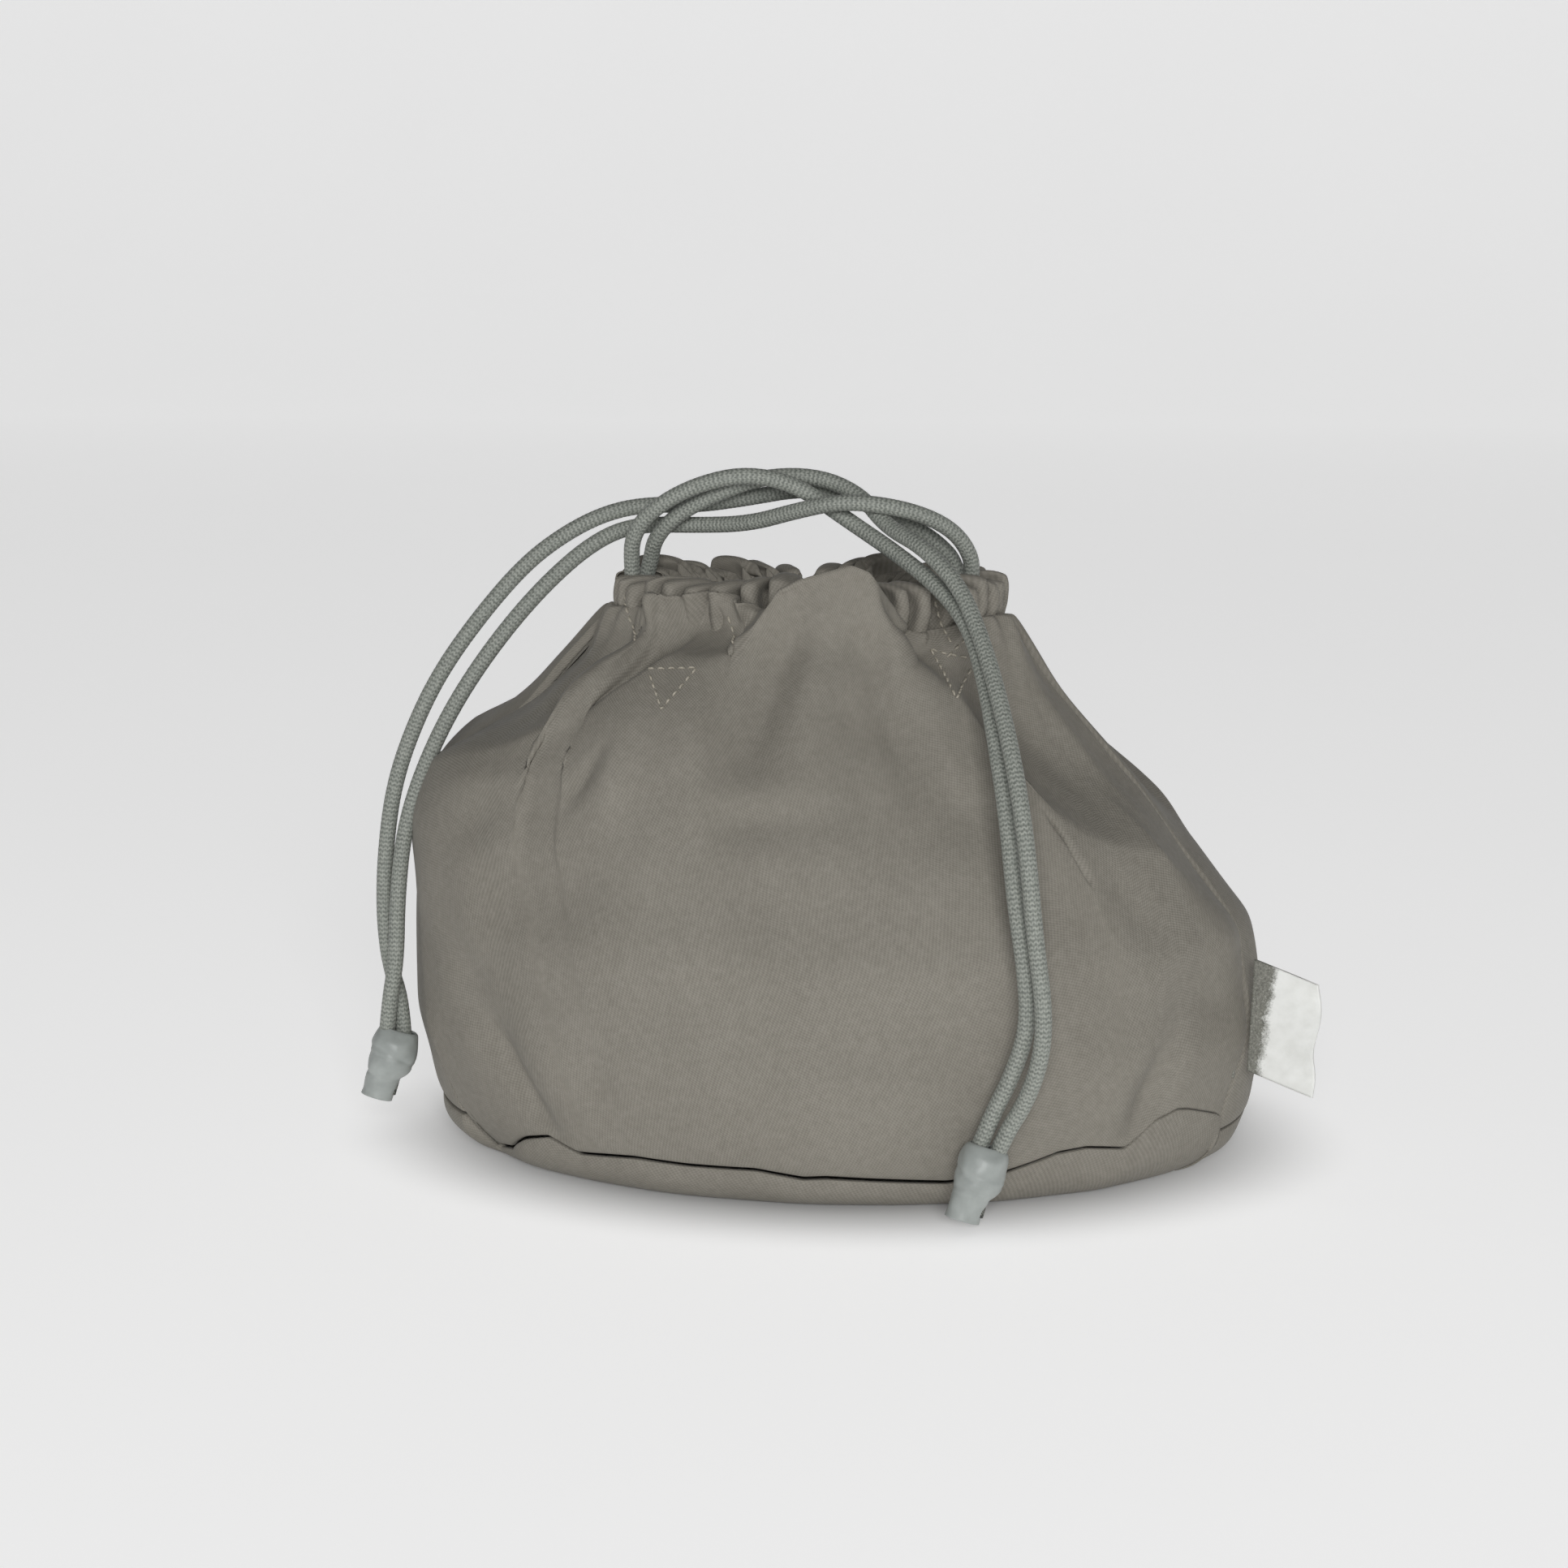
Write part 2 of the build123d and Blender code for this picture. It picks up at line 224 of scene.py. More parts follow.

# %% [markdown]
# ## The two cords
# Each cord is a 5 mm braid. It runs round the mouth inside the channel and both its ends leave at one side,
# so two pairs of strands arch over the mouth. A strand's line is one smooth spline through listed
# control points; the braid itself is modelled on a tube that follows that line.

# %% Routes of the four strands, in metres
CORD_RADIUS = 0.0025
ROUTES = {
    "left_exit_strand_outer": [
        (-0.065, 0.0005, 0.170),
        (-0.066, -0.0005, 0.181),
        (-0.065, -0.005, 0.192),
        (-0.057, -0.0085, 0.201),
        (-0.044, -0.011, 0.208),
        (-0.029, -0.012, 0.2115),
        (-0.014, -0.008, 0.208),
        (0.002, -0.008, 0.197),
        (0.017, -0.0175, 0.1885),
        (0.031, -0.0295, 0.1795),
        (0.040, -0.041, 0.170),
        (0.045, -0.052, 0.156),
        (0.049, -0.066, 0.138),
        (0.0525, -0.077, 0.1195),
        (0.055, -0.0845, 0.098),
        (0.0585, -0.088, 0.077),
        (0.0595, -0.088, 0.061),
        (0.055, -0.0875, 0.046),
        (0.049, -0.086, 0.033),
        (0.0445, -0.087, 0.0205),
    ],
    "left_exit_strand_inner": [
        (-0.0645, 0.0075, 0.170),
        (-0.061, 0.0065, 0.181),
        (-0.059, 0.002, 0.190),
        (-0.051, -0.0015, 0.198),
        (-0.039, -0.0035, 0.2045),
        (-0.024, -0.004, 0.210),
        (-0.007, -0.0035, 0.210),
        (0.006, -0.0065, 0.2045),
        (0.014, -0.015, 0.196),
        (0.026, -0.0285, 0.1915),
        (0.037, -0.039, 0.1815),
        (0.0435, -0.050, 0.1685),
        (0.049, -0.063, 0.154),
        (0.0545, -0.078, 0.1345),
        (0.0585, -0.0885, 0.1125),
        (0.061, -0.092, 0.088),
        (0.064, -0.0935, 0.068),
        (0.0635, -0.092, 0.053),
        (0.059, -0.089, 0.0385),
        (0.0535, -0.0875, 0.029),
        (0.0497, -0.0873, 0.0191),
    ],
    "right_exit_strand_inner": [
        (0.0378, 0.0005, 0.170),
        (0.0405, -0.0005, 0.181),
        (0.0375, -0.004, 0.190),
        (0.0305, -0.010, 0.197),
        (0.018, -0.0155, 0.202),
        (0.001, -0.017, 0.204),
        (-0.014, -0.010, 0.200),
        (-0.029, -0.0015, 0.195),
        (-0.046, 0.006, 0.1935),
        (-0.066, 0.0075, 0.1935),
        (-0.079, 0.002, 0.188),
        (-0.094, -0.005, 0.1745),
        (-0.1085, -0.010, 0.157),
        (-0.121, -0.013, 0.138),
        (-0.130, -0.016, 0.119),
        (-0.136, -0.018, 0.100),
        (-0.138, -0.021, 0.079),
        (-0.138, -0.0245, 0.060),
        (-0.1405, -0.0255, 0.046),
        (-0.1423, -0.023, 0.0324),
    ],
    "right_exit_strand_outer": [
        (0.0373, 0.0075, 0.170),
        (0.035, 0.007, 0.182),
        (0.029, 0.004, 0.189),
        (0.021, 0.001, 0.1945),
        (0.010, 0.0005, 0.1995),
        (-0.001, 0.002, 0.205),
        (-0.015, 0.0055, 0.205),
        (-0.030, 0.008, 0.202),
        (-0.046, 0.0085, 0.1995),
        (-0.063, 0.0085, 0.1995),
        (-0.075, 0.0055, 0.197),
        (-0.087, 0.0025, 0.191),
        (-0.099, -0.0015, 0.182),
        (-0.112, -0.0065, 0.167),
        (-0.1245, -0.0105, 0.1495),
        (-0.133, -0.013, 0.1325),
        (-0.1395, -0.0145, 0.114),
        (-0.1425, -0.0155, 0.094),
        (-0.1435, -0.0165, 0.074),
        (-0.142, -0.0175, 0.057),
        (-0.1375, -0.0195, 0.044),
        (-0.1367, -0.0224, 0.031),
    ],
}


# %% From a route to a smooth line
def smooth_line(name, route, resolution=10):
    """The points of one NURBS spline with the route's points as its control points."""
    curve = bpy.data.curves.new(name, "CURVE")
    curve.dimensions = "3D"
    spline = curve.splines.new("NURBS")
    spline.points.add(len(route) - 1)
    for point, place in zip(spline.points, route):
        point.co = (*place, 1.0)
    spline.order_u = 3
    spline.use_endpoint_u = True
    spline.resolution_u = resolution
    holder = bpy.data.objects.new(name, curve)
    mesh = bpy.data.meshes.new_from_object(holder)
    line = np.array([v.co[:] for v in mesh.vertices])
    bpy.data.objects.remove(holder)
    bpy.data.curves.remove(curve)
    bpy.data.meshes.remove(mesh)
    return line


def evenly(line, count):
    """The same line with its points evenly spaced, for rings of a tube."""
    steps = np.linalg.norm(np.diff(line, axis=0), axis=1)
    along = np.concatenate([[0.0], np.cumsum(steps)])
    wanted = np.linspace(0.0, along[-1], count)
    return np.stack([np.interp(wanted, along, line[:, axis]) for axis in range(3)], axis=1), along[-1]


def carried_frames(points):
    """Side vectors along a line that turn with it and never twist."""
    tangents = np.gradient(points, axis=0)
    tangents /= np.linalg.norm(tangents, axis=1)[:, None]
    side = np.cross(tangents[0], (0.3, 0.9, 0.2))
    side /= np.linalg.norm(side)
    sides = []
    for tangent in tangents:
        side = side - tangent * side.dot(tangent)
        side /= np.linalg.norm(side)
        sides.append(side)
    sides = np.array(sides)
    return sides, np.cross(tangents, sides)


# %% Braided tube
BRAID_PITCH = 0.0014        # length of one crossing along the cord
BRAID_COLUMNS = 10          # crossings round the cord
AROUND = 36
RING_STEP = 0.00045


def braid_height(turn, along):
    """How high the braid stands at a place: two sets of helical carriers that pass over and under."""
    column = turn * BRAID_COLUMNS
    row = along / BRAID_PITCH
    left = (column + row) % 1.0
    right = (column - row) % 1.0
    over = np.sin(2 * pi * (column * 0.5)) * np.sin(2 * pi * row * 0.5)
    carrier = np.maximum(np.sin(pi * left) * (0.75 + 0.25 * over), np.sin(pi * right) * (0.75 - 0.25 * over))
    return carrier


def braided_tube(name, line, radius, step=RING_STEP, relief=0.00016):
    """A closed tube along a line, with the braid's carriers raised on it and its own UV in metres."""
    length = np.linalg.norm(np.diff(line, axis=0), axis=1).sum()
    rings = max(8, int(length / step))
    points, length = evenly(line, rings)
    sides, ups = carried_frames(points)
    turns = np.arange(AROUND) / AROUND
    along = np.linspace(0, length, rings)
    height = braid_height(turns[None, :], along[:, None])
    reach = radius + relief * (height - 0.75)
    circle_x = np.cos(2 * pi * turns)[None, :, None]
    circle_y = np.sin(2 * pi * turns)[None, :, None]
    verts = points[:, None, :] + reach[:, :, None] * (
        circle_x * sides[:, None, :] + circle_y * ups[:, None, :]
    )
    verts = verts.reshape(-1, 3)
    faces = []
    for i in range(rings - 1):
        for j in range(AROUND):
            k = (j + 1) % AROUND
            faces.append((i * AROUND + j, i * AROUND + k, (i + 1) * AROUND + k, (i + 1) * AROUND + j))
    first = len(verts)
    verts = np.concatenate([verts, points[[0, -1]]])
    for j in range(AROUND):
        k = (j + 1) % AROUND
        faces.append((k, j, first))
        faces.append(((rings - 1) * AROUND + j, (rings - 1) * AROUND + k, first + 1))
    mesh = bpy.data.meshes.new(name)
    mesh.from_pydata(verts.tolist(), [], faces)
    uv = mesh.uv_layers.new(name="UVMap")
    for polygon in mesh.polygons:
        columns = [v % AROUND for v in polygon.vertices]
        wraps = max(columns) - min(columns) > AROUND // 2
        for loop, vertex in zip(polygon.loop_indices, polygon.vertices):
            ring, column = divmod(vertex, AROUND)
            if vertex >= first:
                uv.data[loop].uv = (0.0, 0.0)
                continue
            turn = (column + (AROUND if wraps and column == 0 else 0)) / AROUND
            uv.data[loop].uv = (turn, along[ring])
    mesh.shade_smooth()
    tube = bpy.data.objects.new(name, mesh)
    scene.collection.objects.link(tube)
    return tube, points, length


strands = {}
for node, route in ROUTES.items():
    line = smooth_line(node, route)
    strands[node] = braided_tube(node.replace("exit_strand", "exit_cord"), line, CORD_RADIUS)
    print(node, "length", round(strands[node][2] / MM, 1), "mm, faces", len(strands[node][0].data.polygons))

# %% Braided cord finish
# The braid's carriers cross in small chevrons, with BRAID_COLUMNS of them round the cord and one every
# BRAID_PITCH along it. Both were chosen.
cord_finish, tree, shader = new_material("braided_polyester_cord", Roughness=0.62)
uv = add_node(tree, "ShaderNodeUVMap")
parts = add_node(tree, "ShaderNodeSeparateXYZ", links={"Vector": uv.outputs["UV"]})
columns = add_node(
    tree, "ShaderNodeMath", {"operation": "MULTIPLY"}, {1: BRAID_COLUMNS}, {0: parts.outputs["X"]}
)
slant = add_node(tree, "ShaderNodeMath", {"operation": "PINGPONG"}, {1: 0.5}, {0: columns.outputs["Value"]})
lean = add_node(tree, "ShaderNodeMath", {"operation": "MULTIPLY"}, {1: 4.4}, {0: slant.outputs["Value"]})
rows = add_node(
    tree,
    "ShaderNodeMath",
    {"operation": "MULTIPLY_ADD"},
    {1: 2 * pi / BRAID_PITCH},
    {0: parts.outputs["Y"], 2: lean.outputs["Value"]},
)
chevron = add_node(tree, "ShaderNodeMath", {"operation": "SINE"}, links={0: rows.outputs["Value"]})
doubled = add_node(
    tree, "ShaderNodeMath", {"operation": "MULTIPLY"}, {1: 4 * pi}, {0: columns.outputs["Value"]}
)
seam = add_node(tree, "ShaderNodeMath", {"operation": "COSINE"}, links={0: doubled.outputs["Value"]})
crossing = add_node(
    tree,
    "ShaderNodeMath",
    {"operation": "MULTIPLY_ADD"},
    {1: -0.35},
    {0: seam.outputs["Value"], 2: chevron.outputs["Value"]},
)
coords = add_node(tree, "ShaderNodeTexCoord")
fuzz = add_node(
    tree,
    "ShaderNodeTexNoise",
    values={"Scale": 1400.0, "Detail": 3.0},
    links={"Vector": coords.outputs["Object"]},
)
carrier = add_node(
    tree,
    "ShaderNodeMath",
    {"operation": "MULTIPLY_ADD"},
    {1: 0.20},
    {0: crossing.outputs["Value"], 2: fuzz.outputs["Fac"]},
)
tone = ramp(tree, carrier.outputs["Value"], [(0.20, "6a6e68"), (0.48, "868a83"), (0.80, "a2a59d")])
tree.links.new(tone.outputs["Color"], shader.inputs["Base Color"])
bump = add_node(
    tree,
    "ShaderNodeBump",
    values={"Strength": 0.8, "Distance": 0.00035},
    links={"Height": carrier.outputs["Value"]},
)
tree.links.new(bump.outputs["Normal"], shader.inputs["Normal"])
shader.inputs["Sheen Weight"].default_value = 0.1
shader.inputs["Sheen Roughness"].default_value = 0.4

for node, (tube, points, length) in strands.items():
    tube.data.materials.append(cord_finish)
    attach(tube, "bag")
    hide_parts(node)

# %% [markdown]
# ## The bag's cloth
# The bag is drawn as a light plain-weave nylon with a soft, washed hand; the fibre is a guess. A front and a
# back panel meet in two side seams, over an oval base, and a hem at the mouth is folded into a channel for
# the cords. Stuffed and drawn shut, the walls stand in a dome, and the spare width gathers into pleats at the
# channel. All of it is placed in code, without a cloth simulation: the large folds are set one by one on a
# grid whose columns run up the cloth and whose rows run round it, and smaller unevenness is added with noise.

# %% The stuffed outline, in metres: height, half width, middle in x, half depth, middle in y
OUTLINE = np.array([
    (0.000, 0.1120, 0.0000, 0.0690, 0.0000),
    (0.004, 0.1210, 0.0000, 0.0760, 0.0000),
    (0.014, 0.1290, 0.0000, 0.0820, 0.0000),
    (0.042, 0.1340, -0.0005, 0.0860, 0.0000),
    (0.075, 0.1305, -0.0045, 0.0840, 0.0000),
    (0.105, 0.1170, -0.0160, 0.0740, 0.0010),
    (0.129, 0.0995, -0.0205, 0.0600, 0.0025),
    (0.147, 0.0810, -0.0210, 0.0460, 0.0035),
    (0.162, 0.0640, -0.0150, 0.0340, 0.0040),
    (0.182, 0.0590, -0.0120, 0.0300, 0.0040),
])
heights = np.linspace(0.0, 0.190, 191)
kernel = np.hanning(15)
kernel /= kernel.sum()
smooth_outline = []
for column in range(1, 5):
    values = np.interp(heights, OUTLINE[:, 0], OUTLINE[:, column])
    padded_values = np.concatenate([np.full(7, values[0]), values, np.full(7, values[-1])])
    smooth_outline.append(np.convolve(padded_values, kernel, "valid"))


def dome(turn, z):
    """A place on the stuffed outline: the angle round the bag, and the height."""
    width, mid_x, depth, mid_y = [np.interp(z, heights, values) for values in smooth_outline]
    return np.stack([mid_x + width * np.cos(turn), mid_y + depth * np.sin(turn), z], axis=-1)


def seam_angle(z):
    """How far in front of the bag's ends its two side seams run."""
    depth, mid_y = [np.interp(z, heights, smooth_outline[i]) for i in (2, 3)]
    return np.arcsin(np.clip((mid_y + 0.038 - 0.25 * np.minimum(z, 0.162)) / depth, -0.5, 0.6))


def turn_of(side, u, z):
    """The angle round the bag of a column of the front or back panel at a height."""
    lean = seam_angle(z)
    if side == "front":
        return -pi + lean + u * (pi - 2 * lean)
    return -lean + u * (pi + 2 * lean)


def column_of(x, z):
    """The front panel's column that passes through a place given by x and z."""
    width, mid_x = [np.interp(z, heights, smooth_outline[i]) for i in (0, 1)]
    turn = -np.arccos(np.clip((x - mid_x) / width, -1, 1))
    lean = seam_angle(z)
    return (turn + pi - lean) / (pi - 2 * lean)


def soft_step(low, high, value):
    s = np.clip((value - low) / (high - low), 0, 1)
    return s * s * (3 - 2 * s)


print("belly", round(np.interp(0.05, heights, smooth_outline[0]) * 2 / MM), "mm wide")

# %% [markdown]
# Where the taut wall ends, the cloth turns over a ridge and falls in towards the mouth. In front that ridge
# climbs from the left end, makes two flaps that hang over the channel, and falls away to the right. Each
# entry
# gives the ridge's place, how far it stands out, how much the cloth above it sinks, and how far it rolls up.

# %% The ridge in front: x, z, stand-out, sink, puff, tuck strength (mm, and 0 to 1)
FRONT_RIDGE = [
    (-136, 112, 1.0, 3.0, 4.0, 0.3),
    (-129, 118, 4.0, 8.0, 5.0, 0.3),
    (-101, 131, 9.0, 12.0, 6.0, 0.3),
    (-82, 138, 10.0, 13.0, 7.0, 0.4),
    (-70, 142, 10.0, 13.0, 11.0, 0.5),
    (-66, 149, 10.0, 9.0, 12.0, 0.6),
    (-61, 160, 12.0, 9.0, 12.0, 0.7),
    (-46, 161, 13.0, 10.0, 12.5, 0.7),
    (-36, 160, 13.0, 10.0, 13.5, 0.9),
    (-27, 162, 12.0, 10.0, 11.0, 0.9),
    (-24, 172, 12.0, 0.0, 9.0, 0.1),
    (-20, 180, 12.0, -1.0, 10.0, 0.0),
    (-12, 184, 12.0, -2.0, 12.0, 0.0),
    (1, 188, 12.5, -2.0, 12.0, 0.0),
    (6, 186, 12.0, 0.0, 10.0, 0.1),
    (11, 174, 11.0, 3.0, 4.0, 0.6),
    (15, 167, 11.0, 5.0, 2.0, 0.9),
    (20, 158, 9.0, 9.0, 0.0, 1.2),
    (27, 152, 9.0, 11.0, 0.0, 1.2),
    (34, 147, 10.0, 12.0, 5.0, 0.5),
    (46, 137, 10.5, 12.5, 6.5, 0.2),
    (54, 125, 10.5, 13.5, 6.0, 0.2),
    (60, 117, 10.0, 14.0, 5.0, 0.3),
    (69, 111, 10.0, 14.0, 4.5, 0.4),
    (91, 102, 9.0, 12.0, 4.0, 0.4),
    (101, 93, 7.0, 8.0, 4.0, 0.4),
    (118, 80, 2.0, 3.0, 3.0, 0.4),
]
BACK_RIDGE = [
    (0.00, 90, 1.0, 3.0, 3.0, 0.4),
    (0.08, 104, 4.0, 6.0, 2.0, 0.7),
    (0.17, 128, 7.0, 9.0, 0.0, 1.0),
    (0.25, 139, 7.0, 9.0, 0.0, 1.1),
    (0.31, 152, 8.0, 3.0, 5.0, 0.5),
    (0.38, 160, 8.0, 2.0, 7.0, 0.3),
    (0.45, 150, 6.0, 8.0, 0.0, 1.0),
    (0.52, 155, 7.0, 7.0, 2.0, 1.0),
    (0.61, 161, 8.0, 2.0, 7.0, 0.3),
    (0.68, 146, 7.0, 9.0, 0.0, 1.0),
    (0.77, 134, 6.0, 9.0, 0.0, 1.0),
    (0.88, 128, 5.0, 7.0, 3.0, 0.6),
    (1.00, 112, 1.0, 3.0, 4.0, 0.4),
]
BASE_SEAM = [
    (-129, 3), (-118, 3), (-106, 6), (-93, 12.6), (-83, 15.4), (-76, 11.2), (-57, 13),
    (-41, 12.4), (-20, 12.7),
    (-6, 10.2), (1, 10.8), (27, 9.5), (38, 8.9), (53, 11.4), (67, 17.2), (75, 18), (87, 16), (93, 23.5),
    (99, 25.7), (103, 24.7), (113, 20.4), (120, 14), (126, 13),
]


def ridge_values(side, u):
    """The ridge's height, stand-out, sink, puff and tuck strength at each column, in metres."""
    if side == "front":
        table = np.array([(column_of(x * MM, min(z, 162) * MM), z, *rest) for x, z, *rest in FRONT_RIDGE])
    else:
        table = np.array(BACK_RIDGE)
    order = np.argsort(table[:, 0])
    return [np.interp(u, table[order, 0], table[order, i]) * MM for i in range(1, 6)]


def seam_height(side, u):
    """How high the base seam runs at each column, in metres."""
    if side == "front":
        table = np.array([(column_of(x * MM, 0.013), z) for x, z in BASE_SEAM])
        return np.interp(u, table[:, 0], table[:, 1]) * MM
    return (13 - 1.5 * np.cos(2 * pi * u * 5) * np.sin(pi * u)) * MM


# %% [markdown]
# The gathers are a wave round the mouth, one tuck for every few millimetres of cord. A real gather is
# uneven, so the tucks' spacing and depth wander, and most tucks die out a short way below the channel while
# a few run on as long radial folds.

# %% Gathers
TUCKS = 38
rng = np.random.default_rng(7)
tuck_depth = rng.uniform(0.75, 1.25, TUCKS + 2)
tuck_shift = rng.uniform(-0.22, 0.22, TUCKS + 2)


def round_mouth(side, u):
    """A column's place round the mouth, from 0 to 1, starting at the right end and running over the back."""
    return 0.5 * u if side == "back" else 0.5 + 0.5 * u


def tuck_wave(around):
    """The gathers' phase and strength round the mouth."""
    place = around * TUCKS
    index = np.arange(TUCKS + 2)
    phase = 2 * pi * (place + np.interp(place, index, tuck_shift))
    return phase, np.interp(place, index, tuck_depth)


def line_fold(x, z, start, end, width, height, ends=0.012):
    """A crease or a soft ridge along a line on the wall, in metres; it fades at both ends."""
    ax, az = start[0] * MM, start[1] * MM
    dx, dz = end[0] * MM - ax, end[1] * MM - az
    long = hypot(dx, dz)
    s = ((x - ax) * dx + (z - az) * dz) / long
    across = ((x - ax) * dz - (z - az) * dx) / long
    fade = soft_step(-ends, ends, s) * soft_step(-ends, ends, long - s)
    return height * MM * fade * np.exp(-((across / (width * MM)) ** 2))


FRONT_FOLDS = [
    # start, end (x, z in mm), width, height
    ((-68, 131), (-77, 120), 2.4, -2.6),
    ((-62, 142), (-66, 114), 6.0, 2.6),
    ((-32, 122), (-4, 123), 3.5, 1.5),
    ((-33, 115), (-2, 117), 5.0, -1.6),
    ((-11, 170), (-26, 132), 7.0, -4.2),
    ((-4, 174), (-8, 130), 8.0, 2.6),
    ((12, 172), (42, 124), 6.0, 2.2),
    ((8, 168), (24, 126), 5.0, -2.2),
    ((-44, 152), (-38, 112), 9.0, 2.2),
    ((-30, 158), (-36, 130), 5.0, -1.4),
    ((-116, 74), (-94, 34), 8.0, -2.4),
    ((-101, 44), (-83, 17), 3.6, -3.6),
    ((-92, 50), (-68, 18), 7.0, 2.4),
    ((92, 22), (103, 50), 4.5, -3.4),
    ((82, 18), (92, 50), 7.0, 2.0),
    ((102, 62), (124, 54), 7.0, -2.2),
    ((50, 118), (58, 90), 7.0, -1.6),
    ((62, 114), (76, 84), 8.0, 2.4),
    ((78, 106), (100, 78), 6.0, -1.6),
    ((-128, 100), (-104, 110), 7.0, -2.0),
    ((-118, 118), (-84, 128), 5.0, 1.4),
    ((20, 98), (74, 82), 14.0, 1.6),
    ((-76, 84), (-20, 70), 18.0, 1.5),
    ((0, 62), (64, 44), 16.0, -1.5),
    ((-60, 42), (24, 30), 12.0, 1.2),
    ((-104, 90), (-70, 96), 12.0, -1.2),
    ((-104, 141), (-74, 162), 5.0, -2.6),
    ((-94, 136), (-66, 158), 4.5, 2.4),
    ((52, 140), (84, 116), 5.5, -4.0),
    ((66, 138), (106, 100), 6.0, 2.8),
]


def drift(points, size, seed):
    """Soft noise at each point, for cloth that is nowhere quite even."""
    shift = Vector((seed * 1.7, seed * 2.3, seed * 0.9))
    flat = points.reshape(-1, 3)
    values = [noise.noise(Vector(p) / size + shift) for p in flat]
    return np.array(values).reshape(points.shape[:-1])


# %% The walls as a grid of columns and rows
LOWER_ROWS, UPPER_ROWS = 46, 22


MOUTH_X, MOUTH_Y = -0.011, 0.004  # middle of the gathered mouth, in metres
MOUTH_FOOT = 0.1635               # height where the channel starts


def mouth_point(side, u, z, reach=0.0):
    """A place on the smooth oval that the channel follows."""
    turn = -pi + pi * u if side == "front" else pi * u
    power = 0.86
    x = np.sign(np.cos(turn)) * np.abs(np.cos(turn)) ** power
    y = np.sign(np.sin(turn)) * np.abs(np.sin(turn)) ** power
    px = MOUTH_X + (0.0560 + reach) * x
    py = MOUTH_Y + (0.0270 + reach) * y
    return np.stack([px, py, np.broadcast_to(z, px.shape)], axis=-1)


def out_of(points, u_axis=0, v_axis=1):
    """Unit normals of a grid of points, pointing away from the bag's middle."""
    du = np.gradient(points, axis=u_axis)
    dv = np.gradient(points, axis=v_axis)
    normal = np.cross(du, dv)
    normal /= np.maximum(np.linalg.norm(normal, axis=-1), 1e-12)[..., None]
    middle = points - np.array([-0.01, 0.0, 0.06])
    wrong = (normal * middle).sum(axis=-1).mean() < 0
    return -normal if wrong else normal


def quadratic_path(controls, s):
    """A smooth path that starts and ends at the outer controls and is pulled by those between."""
    controls = [2 * controls[0] - controls[1], *controls[1:-1], 2 * controls[-1] - controls[-2]]
    spans = len(controls) - 2
    place = np.clip(s * spans, 0, spans - 1e-9)
    span = np.floor(place).astype(int)
    t = (place - span)[..., None]
    stack = np.stack(np.broadcast_arrays(*controls), axis=0)[:, :, 0]
    a, b, c = [np.moveaxis(stack[span[0] + i], 0, 1) for i in range(3)]
    return 0.5 * (1 - t) ** 2 * a + (0.5 + t - t * t) * b + 0.5 * t * t * c


def fine_at(count, extra, both):
    """Even steps from 0 to 1, with extra close ones at the start, or at both ends, for a sewn edge."""
    steps = np.linspace(0, 1, count)
    steps = np.concatenate([[0], extra, steps[1:]])
    if both:
        steps = np.concatenate([steps[:-1], 1 - np.array(extra)[::-1], [1]])
    return steps


def wall(side, columns):
    """The grid of one wall panel, from the base seam up to the channel's stitches."""
    u = fine_at(columns, (0.0012, 0.0028), True)[:, None]
    ridge, stand, sink, puff, tucks = ridge_values(side, u)
    low = seam_height(side, u)
    w = fine_at(LOWER_ROWS, (0.004, 0.010), False)[None, :]
    z = low + (ridge - low) * w
    lower = dome(turn_of(side, u, z), z)
    outward = out_of(lower)
    swell = stand * np.sin(pi * np.clip(w, 0, 1) ** 2.0 / 2) ** 2
    level = outward * np.array([1.0, 1.0, 0.0])
    level /= np.linalg.norm(level, axis=-1)[..., None]
    lower = lower + level * swell[..., None]
    top = lower[:, -1:, :]
    around = round_mouth(side, u)
    phase, strength = tuck_wave(around)
    foot = mouth_point(side, u, MOUTH_FOOT, 0.002)
    flat = foot - np.array([MOUTH_X, MOUTH_Y, MOUTH_FOOT])
    flat /= np.linalg.norm(flat, axis=-1)[..., None]
    rim = foot + flat * 0.0060 * np.clip(
        puff / 0.004, 0.2, 1
    )[..., None] + np.array([0, 0, 1.0]) * puff[..., None]
    middle = top * 0.45 + rim * 0.55 - flat * sink[..., None] - np.array([0, 0, 0.5]) * sink[..., None]
    lip = rim - flat * 0.0045 + np.array([0, 0, 0.0012])
    s = np.linspace(0, 1, UPPER_ROWS + 1)[None, 1:]
    upper = quadratic_path([top, middle, rim, lip, foot], s)
    fold = np.sin(phase) * strength * (tucks / MM)
    close = soft_step(0.15, 0.8, s) * 0.0040 * fold
    slow = np.sin(phase / 3.0 + 1.3) * 0.0034 * np.sin(
        pi * np.clip(s * 0.8 + 0.12, 0, 1)
    ) * np.clip(tucks / MM * 1.4, 0, 1)
    upper = upper + flat * (close + slow)[..., None]
    return np.concatenate([lower, upper], axis=1), u


def dress(points, side):
    """Adds the placed folds and the cloth's own unevenness to a wall."""
    outward = out_of(points)
    x, z = points[..., 0], points[..., 2]
    lift = 0.0022 * drift(points, 0.045, 3) + 0.0009 * drift(points, 0.017, 5)
    if side == "front":
        for start, end, width, height in FRONT_FOLDS:
            lift = lift + line_fold(x, z, start, end, width, height)
    else:
        lift = lift + 0.0016 * drift(points * np.array([1.0, 1.0, 0.45]), 0.030, 9)
    rows = points.shape[1]
    calm = soft_step(0, 6, np.arange(rows))[None, :]
    return points + outward * (lift * calm)[..., None]


